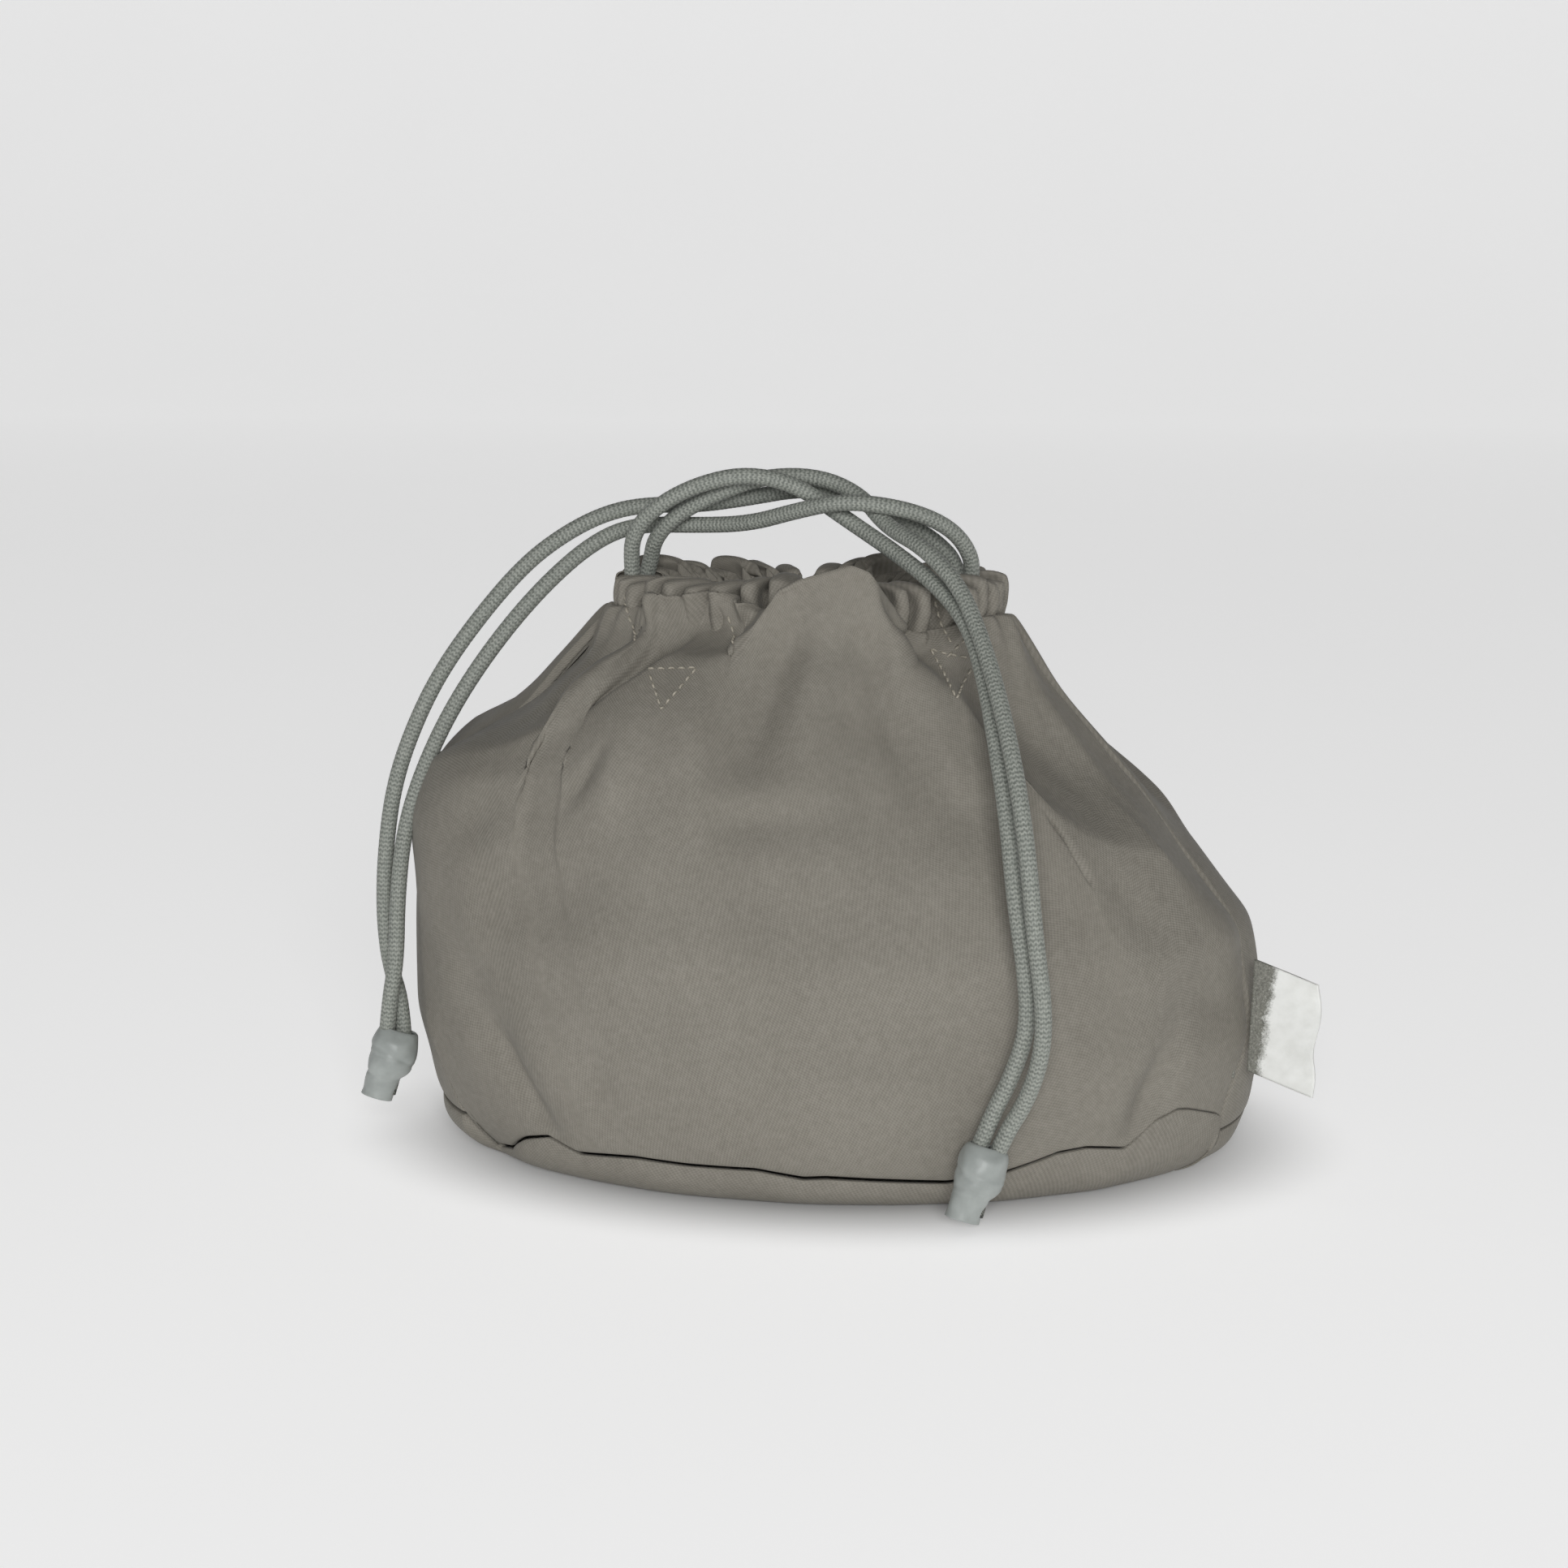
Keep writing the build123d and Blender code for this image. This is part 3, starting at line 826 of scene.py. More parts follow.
def grid_mesh(name, points, uv_scale, flip=False):
    """A mesh from a grid of points, with its UV in metres of cloth."""
    columns, rows = points.shape[:2]
    faces = []
    for i in range(columns - 1):
        for j in range(rows - 1):
            a = i * rows + j
            quad = (a, a + rows, a + rows + 1, a + 1)
            faces.append(quad[::-1] if flip else quad)
    mesh = bpy.data.meshes.new(name)
    mesh.from_pydata(points.reshape(-1, 3).tolist(), [], faces)
    ups = np.concatenate(
        [np.zeros((columns, 1)), np.cumsum(np.linalg.norm(np.diff(points, axis=1), axis=-1), axis=1)],
        axis=1,
    )
    middle = points[:, rows // 4]
    across = np.concatenate([[0], np.cumsum(np.linalg.norm(np.diff(middle, axis=0), axis=1))])
    across *= uv_scale / across[-1]
    uv = mesh.uv_layers.new(name="UVMap")
    for polygon in mesh.polygons:
        for loop, vertex in zip(polygon.loop_indices, polygon.vertices):
            i, j = divmod(vertex, rows)
            uv.data[loop].uv = (across[i], ups[i, j])
    mesh.shade_smooth()
    piece = bpy.data.objects.new(name, mesh)
    scene.collection.objects.link(piece)
    return piece


def apply_all(piece):
    select_only(piece)
    for modifier in list(piece.modifiers):
        bpy.ops.object.modifier_apply(modifier=modifier.name)


def cloth_from(name, points, width, flip, thick=0.0005, levels=1):
    """A cloth piece: the grid, subdivided once, with the cloth's thickness inwards."""
    piece = grid_mesh(name, points, width, flip)
    fine = piece.modifiers.new("finer", "SUBSURF")
    fine.levels = levels
    fine.render_levels = levels
    shell = piece.modifiers.new("thickness", "SOLIDIFY")
    shell.thickness = thick
    shell.offset = -1.0
    apply_all(piece)
    return piece


def turned_in(points, depth=0.0018, side_depth=0.0028):
    """Turns a panel's bottom row and side columns inwards, as at a sewn seam."""
    outward = out_of(points)
    columns, rows = points.shape[:2]
    profile = (1.0, 0.35, 0.06)
    bend = np.zeros((columns, rows))
    for i, amount in enumerate(profile):
        bend[:, i] = np.maximum(bend[:, i], amount * depth)
        bend[i, :] = np.maximum(bend[i, :], amount * side_depth)
        bend[-1 - i, :] = np.maximum(bend[-1 - i, :], amount * side_depth)
    return points - outward * bend[..., None]


FRONT_COLUMNS, BACK_COLUMNS = 216, 232
walls = {}
for side, columns in (("front", FRONT_COLUMNS), ("back", BACK_COLUMNS)):
    points, u = wall(side, columns)
    points = dress(points, side)
    walls[side] = points
    width = np.linalg.norm(np.diff(points[:, 14], axis=0), axis=1).sum()
    height = np.linalg.norm(np.diff(points[columns // 2], axis=0), axis=1).sum()
    print(side, "belly", round(width / MM), "mm, column", round(height / MM), "mm")

front_cloth = cloth_from("front_cloth", turned_in(walls["front"]), 0.355, False)
back_cloth = cloth_from("back_cloth", turned_in(walls["back"]), 0.385, False)


# %% Base panel
def base_grid():
    rings = []
    edge = np.concatenate([walls["front"][:, 0], walls["back"][1:-1, 0]])
    top = edge[:, 2]
    angle = np.arctan2(edge[:, 1] / 0.69, edge[:, 0] / 1.12)
    floor = np.stack([0.112 * np.cos(angle), 0.069 * np.sin(angle), np.zeros(len(edge))], axis=-1)
    for s in (0, 0.015, 0.035, 0.07, *np.linspace(0.13, 1, 12)):
        reach = cos(s * pi / 2)
        drop = sin(s * pi / 2)
        level = np.array([0, 0, 1]) * (top * (1 - drop))[:, None]
        ring = floor + (edge - floor) * np.array([reach, reach, 0]) + level
        rings.append(ring)
    for s in (0.97, 0.9, 0.75, 0.5, 0.25, 0.02):
        rings.append(floor * np.array([s, s, 1]) + np.array([0, 0, 0.0012]) * (1 - s))
    return np.stack(rings, axis=1)


points = base_grid()
points = np.concatenate([points, points[:1]], axis=0)
outward = points - np.array([0, 0, 0.02])
puff = 0.0016 * drift(points, 0.022, 11) * np.concatenate(
    [np.sin(np.linspace(0, 1, 16) * pi), np.zeros(6)]
)[None, :]
points[..., :2] *= (1 + puff / 0.1)[..., None]
inset = points[:, :1] * np.array([0.984, 0.978, 1.0])
points = np.concatenate([inset, points], axis=1)
base_cloth = grid_mesh("base_cloth", points, 0.66, True)
select_only(base_cloth)
bpy.ops.object.mode_set(mode="EDIT")
bpy.ops.mesh.select_all(action="SELECT")
bpy.ops.mesh.remove_doubles(threshold=0.00002)
bpy.ops.object.mode_set(mode="OBJECT")
fine = base_cloth.modifiers.new("finer", "SUBSURF")
fine.levels = fine.render_levels = 1
shell = base_cloth.modifiers.new("thickness", "SOLIDIFY")
shell.thickness = 0.0005
shell.offset = -1.0
apply_all(base_cloth)
for piece, node in ((front_cloth, "front_panel"), (back_cloth, "back_panel"), (base_cloth, "base_panel")):
    low_z = min(v.co.z for v in piece.data.vertices)
    print(piece.name, "lowest", round(low_z / MM, 2), "mm, faces", len(piece.data.polygons))

# %% Channel
CHANNEL_ROWS = 20


def channel(side, columns):
    """One half of the channel: up the outside, over the rim and down the inside, all gathered."""
    edge = 0.045
    u = np.linspace(edge, 1 - edge, columns)[:, None]
    around = round_mouth(side, u)
    phase, strength = tuck_wave(around)
    s = np.linspace(0, 1, CHANNEL_ROWS)[None, :]
    rise = np.sin(pi * np.clip(s, 0, 1))
    height = MOUTH_FOOT + 0.0136 * rise**0.75
    depth = np.interp(
        s, [0, 0.12, 0.38, 0.5, 0.62, 0.88, 1.0], [0.0, 0.0018, 0.0012, -0.0060, -0.0130, -0.0128, -0.0110]
    )
    wave = np.sin(phase) * strength
    second = np.sin(phase * 2) * strength
    amplitude = np.interp(s, [0, 0.25, 0.5, 0.75, 1.0], [0.0040, 0.0046, 0.0036, 0.0030, 0.0024])
    base = mouth_point(side, u, 0.0)
    flat = base - np.array([MOUTH_X, MOUTH_Y, 0.0])
    flat /= np.linalg.norm(flat, axis=-1)[..., None]
    along = np.stack([-flat[..., 1], flat[..., 0], np.zeros_like(flat[..., 0])], axis=-1)
    points = base + flat * (depth + amplitude * wave)[..., None] + along * (
        -0.0014 * second * np.ones_like(s)
    )[..., None]
    lift = 0.0030 * wave * np.clip(rise, 0, 1)
    uneven = 0.0014 * np.sin(phase / 4 + 2.0) + 0.0011 * np.sin(phase / 2.3) + 0.0008 * (strength - 1) / 0.25
    points[..., 2] = height + lift + uneven * np.clip(rise * 1.5, 0, 1)
    return points


channels = {}
for side in ("front", "back"):
    points = channel(side, 420)
    points = points + (0.0006 * drift(points, 0.006, 21))[..., None]
    channels[side] = cloth_from(side + "_channel_cloth", points, 0.35, False, thick=0.0004)
    print(channels[side].name, "faces", len(channels[side].data.polygons))

# %% [markdown]
# The cloth is drawn as a washed nylon taffeta, matt with a faint sheen on the folds. The weave comes from
# the cloth's own UV, in metres, so that it follows the folds. Its pitch is coarser than real yarns, so that
# it shows.

# %% Cloth finish
def woven_cloth(name, light, mid, dark, pitch=0.0011):
    material, tree, shader = new_material(name, Roughness=0.78)
    uv = add_node(tree, "ShaderNodeUVMap")
    coords = add_node(tree, "ShaderNodeTexCoord")
    scale = 1 / pitch
    turned = add_node(
        tree, "ShaderNodeMapping", values={
            "Scale": (scale, scale, 1), "Rotation": (0, 0, radians(28))
        }, links={"Vector": uv.outputs["UV"]}
    )
    twill = add_node(
        tree,
        "ShaderNodeTexWave",
        {"wave_type": "BANDS", "bands_direction": "X"},
        {"Scale": 0.314, "Distortion": 1.6, "Detail": 2.0, "Detail Scale": 1.5},
        {"Vector": turned.outputs["Vector"]},
    )
    crossed = add_node(
        tree,
        "ShaderNodeTexWave",
        {"wave_type": "BANDS", "bands_direction": "Y"},
        {"Scale": 0.45, "Distortion": 2.2, "Detail": 2.0, "Detail Scale": 1.5},
        {"Vector": turned.outputs["Vector"]},
    )
    slubs = add_node(
        tree,
        "ShaderNodeTexNoise",
        values={"Scale": 420.0, "Detail": 4.0, "Roughness": 0.7},
        links={"Vector": coords.outputs["Object"]},
    )
    mottle = add_node(
        tree,
        "ShaderNodeTexNoise",
        values={"Scale": 28.0, "Detail": 5.0, "Roughness": 0.65},
        links={"Vector": coords.outputs["Object"]},
    )
    weave = add_node(
        tree,
        "ShaderNodeMath",
        {"operation": "ADD"},
        links={0: twill.outputs["Fac"], 1: crossed.outputs["Fac"]},
    )
    texture = add_node(
        tree,
        "ShaderNodeMath",
        {"operation": "MULTIPLY_ADD"},
        {1: 0.34},
        {0: weave.outputs["Value"], 2: slubs.outputs["Fac"]},
    )
    shade = add_node(
        tree,
        "ShaderNodeMath",
        {"operation": "MULTIPLY_ADD"},
        {1: 0.55},
        {0: mottle.outputs["Fac"], 2: texture.outputs["Value"]},
    )
    tone = ramp(tree, shade.outputs["Value"], [(0.72, dark), (1.1, mid), (1.45, light)])
    halved = add_node(
        tree, "ShaderNodeMath", {"operation": "MULTIPLY"}, {1: 0.62}, {0: shade.outputs["Value"]}
    )
    tree.links.new(halved.outputs["Value"], tone.inputs["Fac"])
    for element, place in zip(tone.color_ramp.elements, (0.42, 0.68, 0.94)):
        element.position = place
    tree.links.new(tone.outputs["Color"], shader.inputs["Base Color"])
    bump = add_node(
        tree,
        "ShaderNodeBump",
        values={"Strength": 0.5, "Distance": 0.0003},
        links={"Height": texture.outputs["Value"]},
    )
    crumple = add_node(
        tree,
        "ShaderNodeTexNoise",
        values={"Scale": 75.0, "Detail": 4.0, "Roughness": 0.55},
        links={"Vector": coords.outputs["Object"]},
    )
    soft = add_node(
        tree,
        "ShaderNodeBump",
        values={"Strength": 0.30, "Distance": 0.0010},
        links={"Height": crumple.outputs["Fac"], "Normal": bump.outputs["Normal"]},
    )
    tree.links.new(soft.outputs["Normal"], shader.inputs["Normal"])
    shader.inputs["Sheen Weight"].default_value = 0.06
    shader.inputs["Sheen Roughness"].default_value = 0.35
    shader.inputs["Specular IOR Level"].default_value = 0.28
    return material


cloth_finish = woven_cloth("washed_nylon_taffeta", "8f8b82", "837f76", "77736a")
for piece, node in (
    (front_cloth, "front_panel"),
    (back_cloth, "back_panel"),
    (base_cloth, "base_panel"),
    (channels["front"], "channel_front"),
    (channels["back"], "channel_back"),
):
    piece.data.materials.append(cloth_finish)
    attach(piece, "bag")
    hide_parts(node)

# %% [markdown]
# ## What is sewn inside
# A binding covers the raw edges of the base seam and of both side seams, and a small square of cloth
# backs each
# stitched triangle. They are cut from the walls' own grids and lie just inside them, so that they
# follow every fold, as sewn tape does.

# %% Bindings and patches
def inside(points, gap):
    return points - out_of(points) * gap


def tape(name, points, gap, node):
    piece = grid_mesh(name, inside(points, gap), 0.02, False)
    shell = piece.modifiers.new("thickness", "SOLIDIFY")
    shell.thickness = 0.0005
    shell.offset = -1.0
    apply_all(piece)
    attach(piece, "bag")
    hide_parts(node)
    return piece


tape_finish = woven_cloth("twill_binding_tape", "7d7a72", "726f67", "66635c", pitch=0.0012)
patch_finish = woven_cloth("backing_cloth", "8a867d", "7e7a71", "726f66", pitch=0.0010)
ring = np.concatenate([walls["front"][:, 1:5], walls["back"][1:-1, 1:5], walls["front"][:1, 1:5]], axis=0)
base_tape = tape("base_seam_tape", ring, 0.0032, "base_seam_binding")
base_tape.data.materials.append(tape_finish)
rows = slice(3, LOWER_ROWS + UPPER_ROWS - 4)
right = np.concatenate([walls["front"][-4:-1, rows], walls["back"][1:4, rows]], axis=0)
left = np.concatenate([walls["back"][-4:-1, rows], walls["front"][1:4, rows]], axis=0)
for name, points in (("right", right), ("left", left)):
    side_tape = tape(name + "_seam_tape", points, 0.0034, "side_seam_binding_" + name)
    side_tape.data.materials.append(tape_finish)

TRIANGLES = {
    "left": ((-55.6, 156.0), (-40.4, 157.0), (-50.0, 146.0)),
    "right": ((28.0, 160.0), (42.0, 157.0), (36.5, 148.0)),
}
for name, corners in TRIANGLES.items():
    middle = np.mean(corners, axis=0) * MM
    apart = np.hypot(
        walls["front"][..., 0] - middle[0], walls["front"][..., 2] - middle[1]
    ) + 0.2 * (walls["front"][..., 1] > 0)
    column, row = np.unravel_index(apart.argmin(), apart.shape)
    backing = walls["front"][column - 8 : column + 9, max(row - 5, 2) : row + 6]
    patch = tape(name + "_backing_patch", backing, 0.0016, "reinforcement_patch_" + name)
    patch.data.materials.append(patch_finish)

# %% [markdown]
# ## Stitches
# A lockstitch shows as a row of short raised dashes whose ends dive into the cloth. Each stitch is one
# small capsule
# of thread, a few dozen faces, laid on the cloth between two needle holes.

# %% Stitch maker
from mathutils.bvhtree import BVHTree


def tree_of(*pieces):
    places, polygons = [], []
    for piece in pieces:
        first = len(places)
        places += [v.co.copy() for v in piece.data.vertices]
        polygons += [[first + i for i in p.vertices] for p in piece.data.polygons]
    return BVHTree.FromPolygons(places, polygons)


front_tree = tree_of(front_cloth, channels["front"])
back_tree = tree_of(back_cloth, channels["back"])


def on_cloth(line, tree, heading):
    """Drops a line given by x and z on to the cloth, coming from the front or the back."""
    found = []
    for x, z in line:
        place, normal, _, _ = tree.ray_cast(Vector((x * MM, -0.3 * heading, z * MM)), Vector((0, heading, 0)))
        if place is not None:
            found.append((np.array(place), np.array(normal)))
    return found


def between(corners, step=0.4):
    """Points along straight runs between corners, in mm."""
    line = []
    for a, b in zip(corners, corners[1:]):
        count = max(2, int(hypot(b[0] - a[0], b[1] - a[1]) / step))
        line += [(a[0] + (b[0] - a[0]) * i / count, a[1] + (b[1] - a[1]) * i / count) for i in range(count)]
    return line + [corners[-1]]


def sew(name, runs, node, stitch=0.0023, gap=0.0009, thick=0.00038):
    """A piece made of all the stitches along several runs of (place, normal) pairs."""
    verts, faces = [], []
    for run in runs:
        places = np.array([p for p, n in run])
        normals = np.array([n for p, n in run])
        along = np.concatenate([[0], np.cumsum(np.linalg.norm(np.diff(places, axis=0), axis=1))])
        start = 0.0
        while start + stitch < along[-1]:
            knots = np.linspace(start, start + stitch, 5)
            spine = np.stack([np.interp(knots, along, places[:, i]) for i in range(3)], axis=1)
            up = np.stack([np.interp(knots, along, normals[:, i]) for i in range(3)], axis=1)
            up /= np.linalg.norm(up, axis=1)[:, None]
            spine += up * (np.array([-0.5, 0.55, 0.75, 0.55, -0.5]) * thick)[:, None]
            way = np.gradient(spine, axis=0)
            way /= np.linalg.norm(way, axis=1)[:, None] + 1e-12
            over = np.cross(way, up)
            first = len(verts)
            for i, radius in enumerate(np.array([0.5, 0.95, 1.0, 0.95, 0.5]) * thick):
                for k in range(6):
                    angle = k * pi / 3
                    verts.append(spine[i] + radius * (cos(angle) * over[i] + sin(angle) * up[i]))
            for i in range(4):
                for k in range(6):
                    m = (k + 1) % 6
                    faces.append(
                        (first + i * 6 + k, first + i * 6 + m, first + i * 6 + 6 + m, first + i * 6 + 6 + k)
                    )
            faces.append(tuple(first + k for k in range(5, -1, -1)))
            faces.append(tuple(first + 24 + k for k in range(6)))
            start += stitch + gap
    mesh = bpy.data.meshes.new(name)
    mesh.from_pydata([tuple(v) for v in verts], [], faces)
    mesh.shade_smooth()
    piece = bpy.data.objects.new(name, mesh)
    scene.collection.objects.link(piece)
    select_only(piece)
    bpy.ops.object.mode_set(mode="EDIT")
    bpy.ops.mesh.select_all(action="SELECT")
    bpy.ops.mesh.normals_make_consistent(inside=False)
    bpy.ops.object.mode_set(mode="OBJECT")
    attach(piece, "bag")
    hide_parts(node)
    print(name, "stitches", len(faces) // 26)
    return piece


sewn = []
for name, corners in TRIANGLES.items():
    run = on_cloth(between([*corners, corners[0]]), front_tree, 1)
    sewn.append(sew(name + "_triangle_stitches", [run], "triangle_stitching_" + name))
for side in ("front", "back"):
    row = walls[side][3:-3, -2]
    ups = out_of(walls[side])[3:-3, -2]
    fine_row, _ = evenly(row + ups * 0.0002, 1600)
    steps = np.linspace(0, len(row) - 1, 1600)
    fine_ups = np.stack([np.interp(steps, np.arange(len(row)), ups[:, i]) for i in range(3)], axis=1)
    sewn.append(sew(side + "_channel_stitches", [list(zip(fine_row, fine_ups))], "channel_stitching_" + side))
EXIT_LINES = {
    "left": [((-67.0, 173.0), (-64.5, 167.0), (-60.5, 161.0)), ((-33.0, 170.0), (-30.0, 163.0))],
    "right": [((29.0, 174.0), (31.0, 167.0), (35.0, 161.0)), ((41.0, 172.0), (38.5, 163.0), (33.0, 158.0))],
}
for name, lines in EXIT_LINES.items():
    runs = [
        on_cloth(between(line), front_tree, 1) for line in lines
    ] + [on_cloth(between(lines[0]), back_tree, -1)]
    sewn.append(
        sew(name + "_exit_stitches", [run for run in runs if len(run) > 12], "exit_stitching_" + name)
    )

thread_finish, tree, shader = new_material("spun_polyester_thread", Roughness=0.6)
coords = add_node(tree, "ShaderNodeTexCoord")
twist = add_node(
    tree,
    "ShaderNodeTexNoise",
    values={"Scale": 1800.0, "Detail": 2.0},
    links={"Vector": coords.outputs["Object"]},
)
tone = ramp(tree, twist.outputs["Fac"], [(0.35, "8f897c"), (0.65, "b3ad9f")])
tree.links.new(tone.outputs["Color"], shader.inputs["Base Color"])
bump = add_node(
    tree,
    "ShaderNodeBump",
    values={"Strength": 0.4, "Distance": 0.0001},
    links={"Height": twist.outputs["Fac"]},
)
tree.links.new(bump.outputs["Normal"], shader.inputs["Normal"])
for piece in sewn:
    piece.data.materials.append(thread_finish)

# %% [markdown]
# ## The cords inside the channel
# Each cord runs once round the mouth inside the channel and comes back out at its own side. The two loops
# lie one above the other here, where the solids lie side by side.

# %% Loops in the channel
def loop_in_channel(name, level, first, last, from_left):
    u = np.linspace(0.06, 0.94, 12)
    front = mouth_point("front", u, level, -0.0078)
    rear = mouth_point("back", u, level, -0.0078)
    points = np.concatenate([front, rear]) if from_left else np.concatenate([front[::-1], rear[::-1]])
    route = [first, *[tuple(p) for p in points], last]
    return braided_tube(name, smooth_line(name, route), 0.0022, step=0.0006)[0]


loops = {
    "drawcord_left_in_channel": loop_in_channel(
        "left_cord_loop", 0.1655, ROUTES[
            "left_exit_strand_outer"
        ][0], ROUTES["left_exit_strand_inner"][0], True
    ),
    "drawcord_right_in_channel": loop_in_channel(
        "right_cord_loop", 0.1701, ROUTES[
            "right_exit_strand_inner"
        ][0], ROUTES["right_exit_strand_outer"][0], False
    ),
}
for node, loop in loops.items():
    loop.data.materials.append(cord_finish)
    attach(loop, "bag")
    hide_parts(node)

# %% [markdown]
# ## Sleeves on the cord ends
# A short piece of heat-shrink tube covers the knot that ties two cord ends together. It is drawn as a
# tube that
# is extruded ring by ring from a circle, wide over the knot and narrow at the open end, with the shallow
# creases that shrinking over a lump leaves. The cut cord ends show in its mouth.

# %% Sleeve maker
SLEEVE_RINGS = [
    # depth, radius, sideways, sideways towards the viewer (mm)
    (0.0, 5.3, 0.0, 0.0),
    (0.5, 6.1, 0.0, 0.0),
    (1.2, 6.5, 0.0, 0.0),
    (3.0, 7.1, 0.0, 0.0),
    (5.5, 7.5, 0.1, 0.0),
    (7.8, 7.45, 0.3, 0.1),
    (8.7, 7.15, 0.4, 0.1),
    (9.4, 7.3, 0.4, 0.1),
    (11.5, 7.1, 0.2, 0.1),
    (13.2, 6.5, -0.1, 0.0),
    (14.6, 5.9, -0.5, 0.0),
    (15.4, 5.45, -0.7, 0.0),
    (16.0, 5.5, -0.8, 0.0),
    (18.0, 5.15, -1.0, 0.0),
    (20.5, 4.95, -1.1, 0.0),
    (22.6, 5.2, -1.2, 0.0),
]
SLEEVES = {
    "right": ((48.3, -86.0, 24.5), (-5.5, -4.0, -20.0)),
    "left": ((-138.2, -22.0, 36.5), (-5.5, -3.0, -19.5)),
}


def shrunk_sleeve(name, seed):
    bpy.ops.object.select_all(action="DESELECT")
    bpy.ops.mesh.primitive_circle_add(vertices=40, radius=SLEEVE_RINGS[0][1] * MM, location=(0, 0, 0))
    piece = bpy.context.object
    piece.name = name
    bpy.ops.object.mode_set(mode="EDIT")
    bpy.ops.mesh.select_all(action="SELECT")
    before = SLEEVE_RINGS[0]
    for ring in SLEEVE_RINGS[1:]:
        shift = (0, 0, (ring[0] - before[0]) * MM)
        bpy.ops.mesh.extrude_region_move(TRANSFORM_OT_translate={"value": shift})
        ratio = ring[1] / before[1]
        bpy.ops.transform.resize(value=(ratio, ratio, 1), center_override=(before[2] * MM, before[3] * MM, 0))
        bpy.ops.transform.translate(value=((ring[2] - before[2]) * MM, (ring[3] - before[3]) * MM, 0))
        before = ring
    bpy.ops.mesh.select_all(action="SELECT")
    bpy.ops.mesh.normals_make_consistent(inside=False)
    bpy.ops.object.mode_set(mode="OBJECT")
    fine = piece.modifiers.new("finer", "SUBSURF")
    fine.levels = fine.render_levels = 2
    apply_all(piece)
    for vertex in piece.data.vertices:
        place = vertex.co / MM
        turn = atan2(place.y, place.x)
        spiral = sin(turn + place.z * 0.55 + seed)
        crease = -0.28 * np.exp(-(((place.z - 8.8 - 2.2 * sin(turn + seed)) / 0.8) ** 2))
        crease -= 0.22 * np.exp(-(((place.z - 14.6 - 1.4 * cos(turn + seed * 2)) / 0.7) ** 2))
        lump = 0.32 * noise.noise(place / 4.0 + Vector((seed, 0, 0))) + 0.10 * spiral
        pressed = 0.14 * soft_step(14, 22, place.z) * abs(sin(turn))
        flat = 1.0 - pressed - 0.16 * soft_step(4, 0, place.z) * abs(sin(turn))
        radial = Vector((cos(turn), sin(turn), 0))
        vertex.co += radial * float((crease + lump) * MM)
        vertex.co.y *= float(flat)
    shell = piece.modifiers.new("wall", "SOLIDIFY")
    shell.thickness = 0.0006
    shell.offset = -1.0
    apply_all(piece)
    piece.data.shade_smooth()
    return piece


sleeve_finish, tree, shader = new_material("shrunk_polyolefin_sleeve", Roughness=0.42)
coords = add_node(tree, "ShaderNodeTexCoord")
cloud = add_node(
    tree,
    "ShaderNodeTexNoise",
    values={"Scale": 160.0, "Detail": 3.0},
    links={"Vector": coords.outputs["Object"]},
)
pores = add_node(
    tree,
    "ShaderNodeTexNoise",
    values={"Scale": 1500.0, "Detail": 2.0},
    links={"Vector": coords.outputs["Object"]},
)
tone = ramp(tree, cloud.outputs["Fac"], [(0.35, "959a97"), (0.7, "a6aba8")])
tree.links.new(tone.outputs["Color"], shader.inputs["Base Color"])
bump = add_node(
    tree,
    "ShaderNodeBump",
    values={"Strength": 0.12, "Distance": 0.0002},
    links={"Height": pores.outputs["Fac"]},
)
tree.links.new(bump.outputs["Normal"], shader.inputs["Normal"])
shader.inputs["Subsurface Weight"].default_value = 0.0

for (name, (top, lean)), seed in zip(SLEEVES.items(), (0.6, 2.4)):
    piece = shrunk_sleeve(name + "_shrunk_sleeve", seed)
    axis = Vector(lean).normalized()
    across = axis.cross(Vector((0, 1, 0))).normalized()
    other = axis.cross(across)
    for vertex in piece.data.vertices:
        x, y, z = vertex.co
        vertex.co = Vector(top) * MM + across * x + other * y + axis * z
    piece.data.materials.append(sleeve_finish)
    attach(piece, "bag")
    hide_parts("cord_sleeve_" + name)
    low = min(v.co.z for v in piece.data.vertices)
    print(piece.name, "lowest", round(low / MM, 2), "mm")

# %% Knots and cut ends keep their imported shape and get finishes of their own; the cut ends' finish paints shade
cut_end_painted_shade_finish, tree, shader = new_material("cut_cord_fibres_painted_shade", Roughness=0.9)
coords = add_node(tree, "ShaderNodeTexCoord")
fibres = add_node(
    tree, "ShaderNodeTexVoronoi", values={"Scale": 1900.0}, links={"Vector": coords.outputs["Object"]}
)
tufts = add_node(
    tree,
    "ShaderNodeTexNoise",
    values={"Scale": 700.0, "Detail": 4.0},
    links={"Vector": coords.outputs["Object"]},
)
both = add_node(
    tree,
    "ShaderNodeMath",
    {"operation": "MULTIPLY"},
    links={0: fibres.outputs["Distance"], 1: tufts.outputs["Fac"]},
)
# The cut ends are coloured far darker than the cord they are cut from: painted shade of the sleeve's mouth,
# with the fibre grain on top.
tone = ramp(tree, both.outputs["Value"], [(0.05, "2e2f2d"), (0.25, "4e504c"), (0.42, "8b8d85")])
tree.links.new(tone.outputs["Color"], shader.inputs["Base Color"])
bump = add_node(
    tree,
    "ShaderNodeBump",
    values={"Strength": 0.9, "Distance": 0.0004},
    links={"Height": both.outputs["Value"]},
)
tree.links.new(bump.outputs["Normal"], shader.inputs["Normal"])
knot_finish, tree, shader = new_material("knotted_cord", Roughness=0.65)
coords = add_node(tree, "ShaderNodeTexCoord")
strands_of = add_node(
    tree, "ShaderNodeTexWave", values={
        "Scale": 260.0, "Distortion": 3.0, "Detail": 2.0
    }, links={"Vector": coords.outputs["Object"]}
)
tone = ramp(tree, strands_of.outputs["Fac"], [(0.2, "6d766f"), (0.8, "8f9890")])
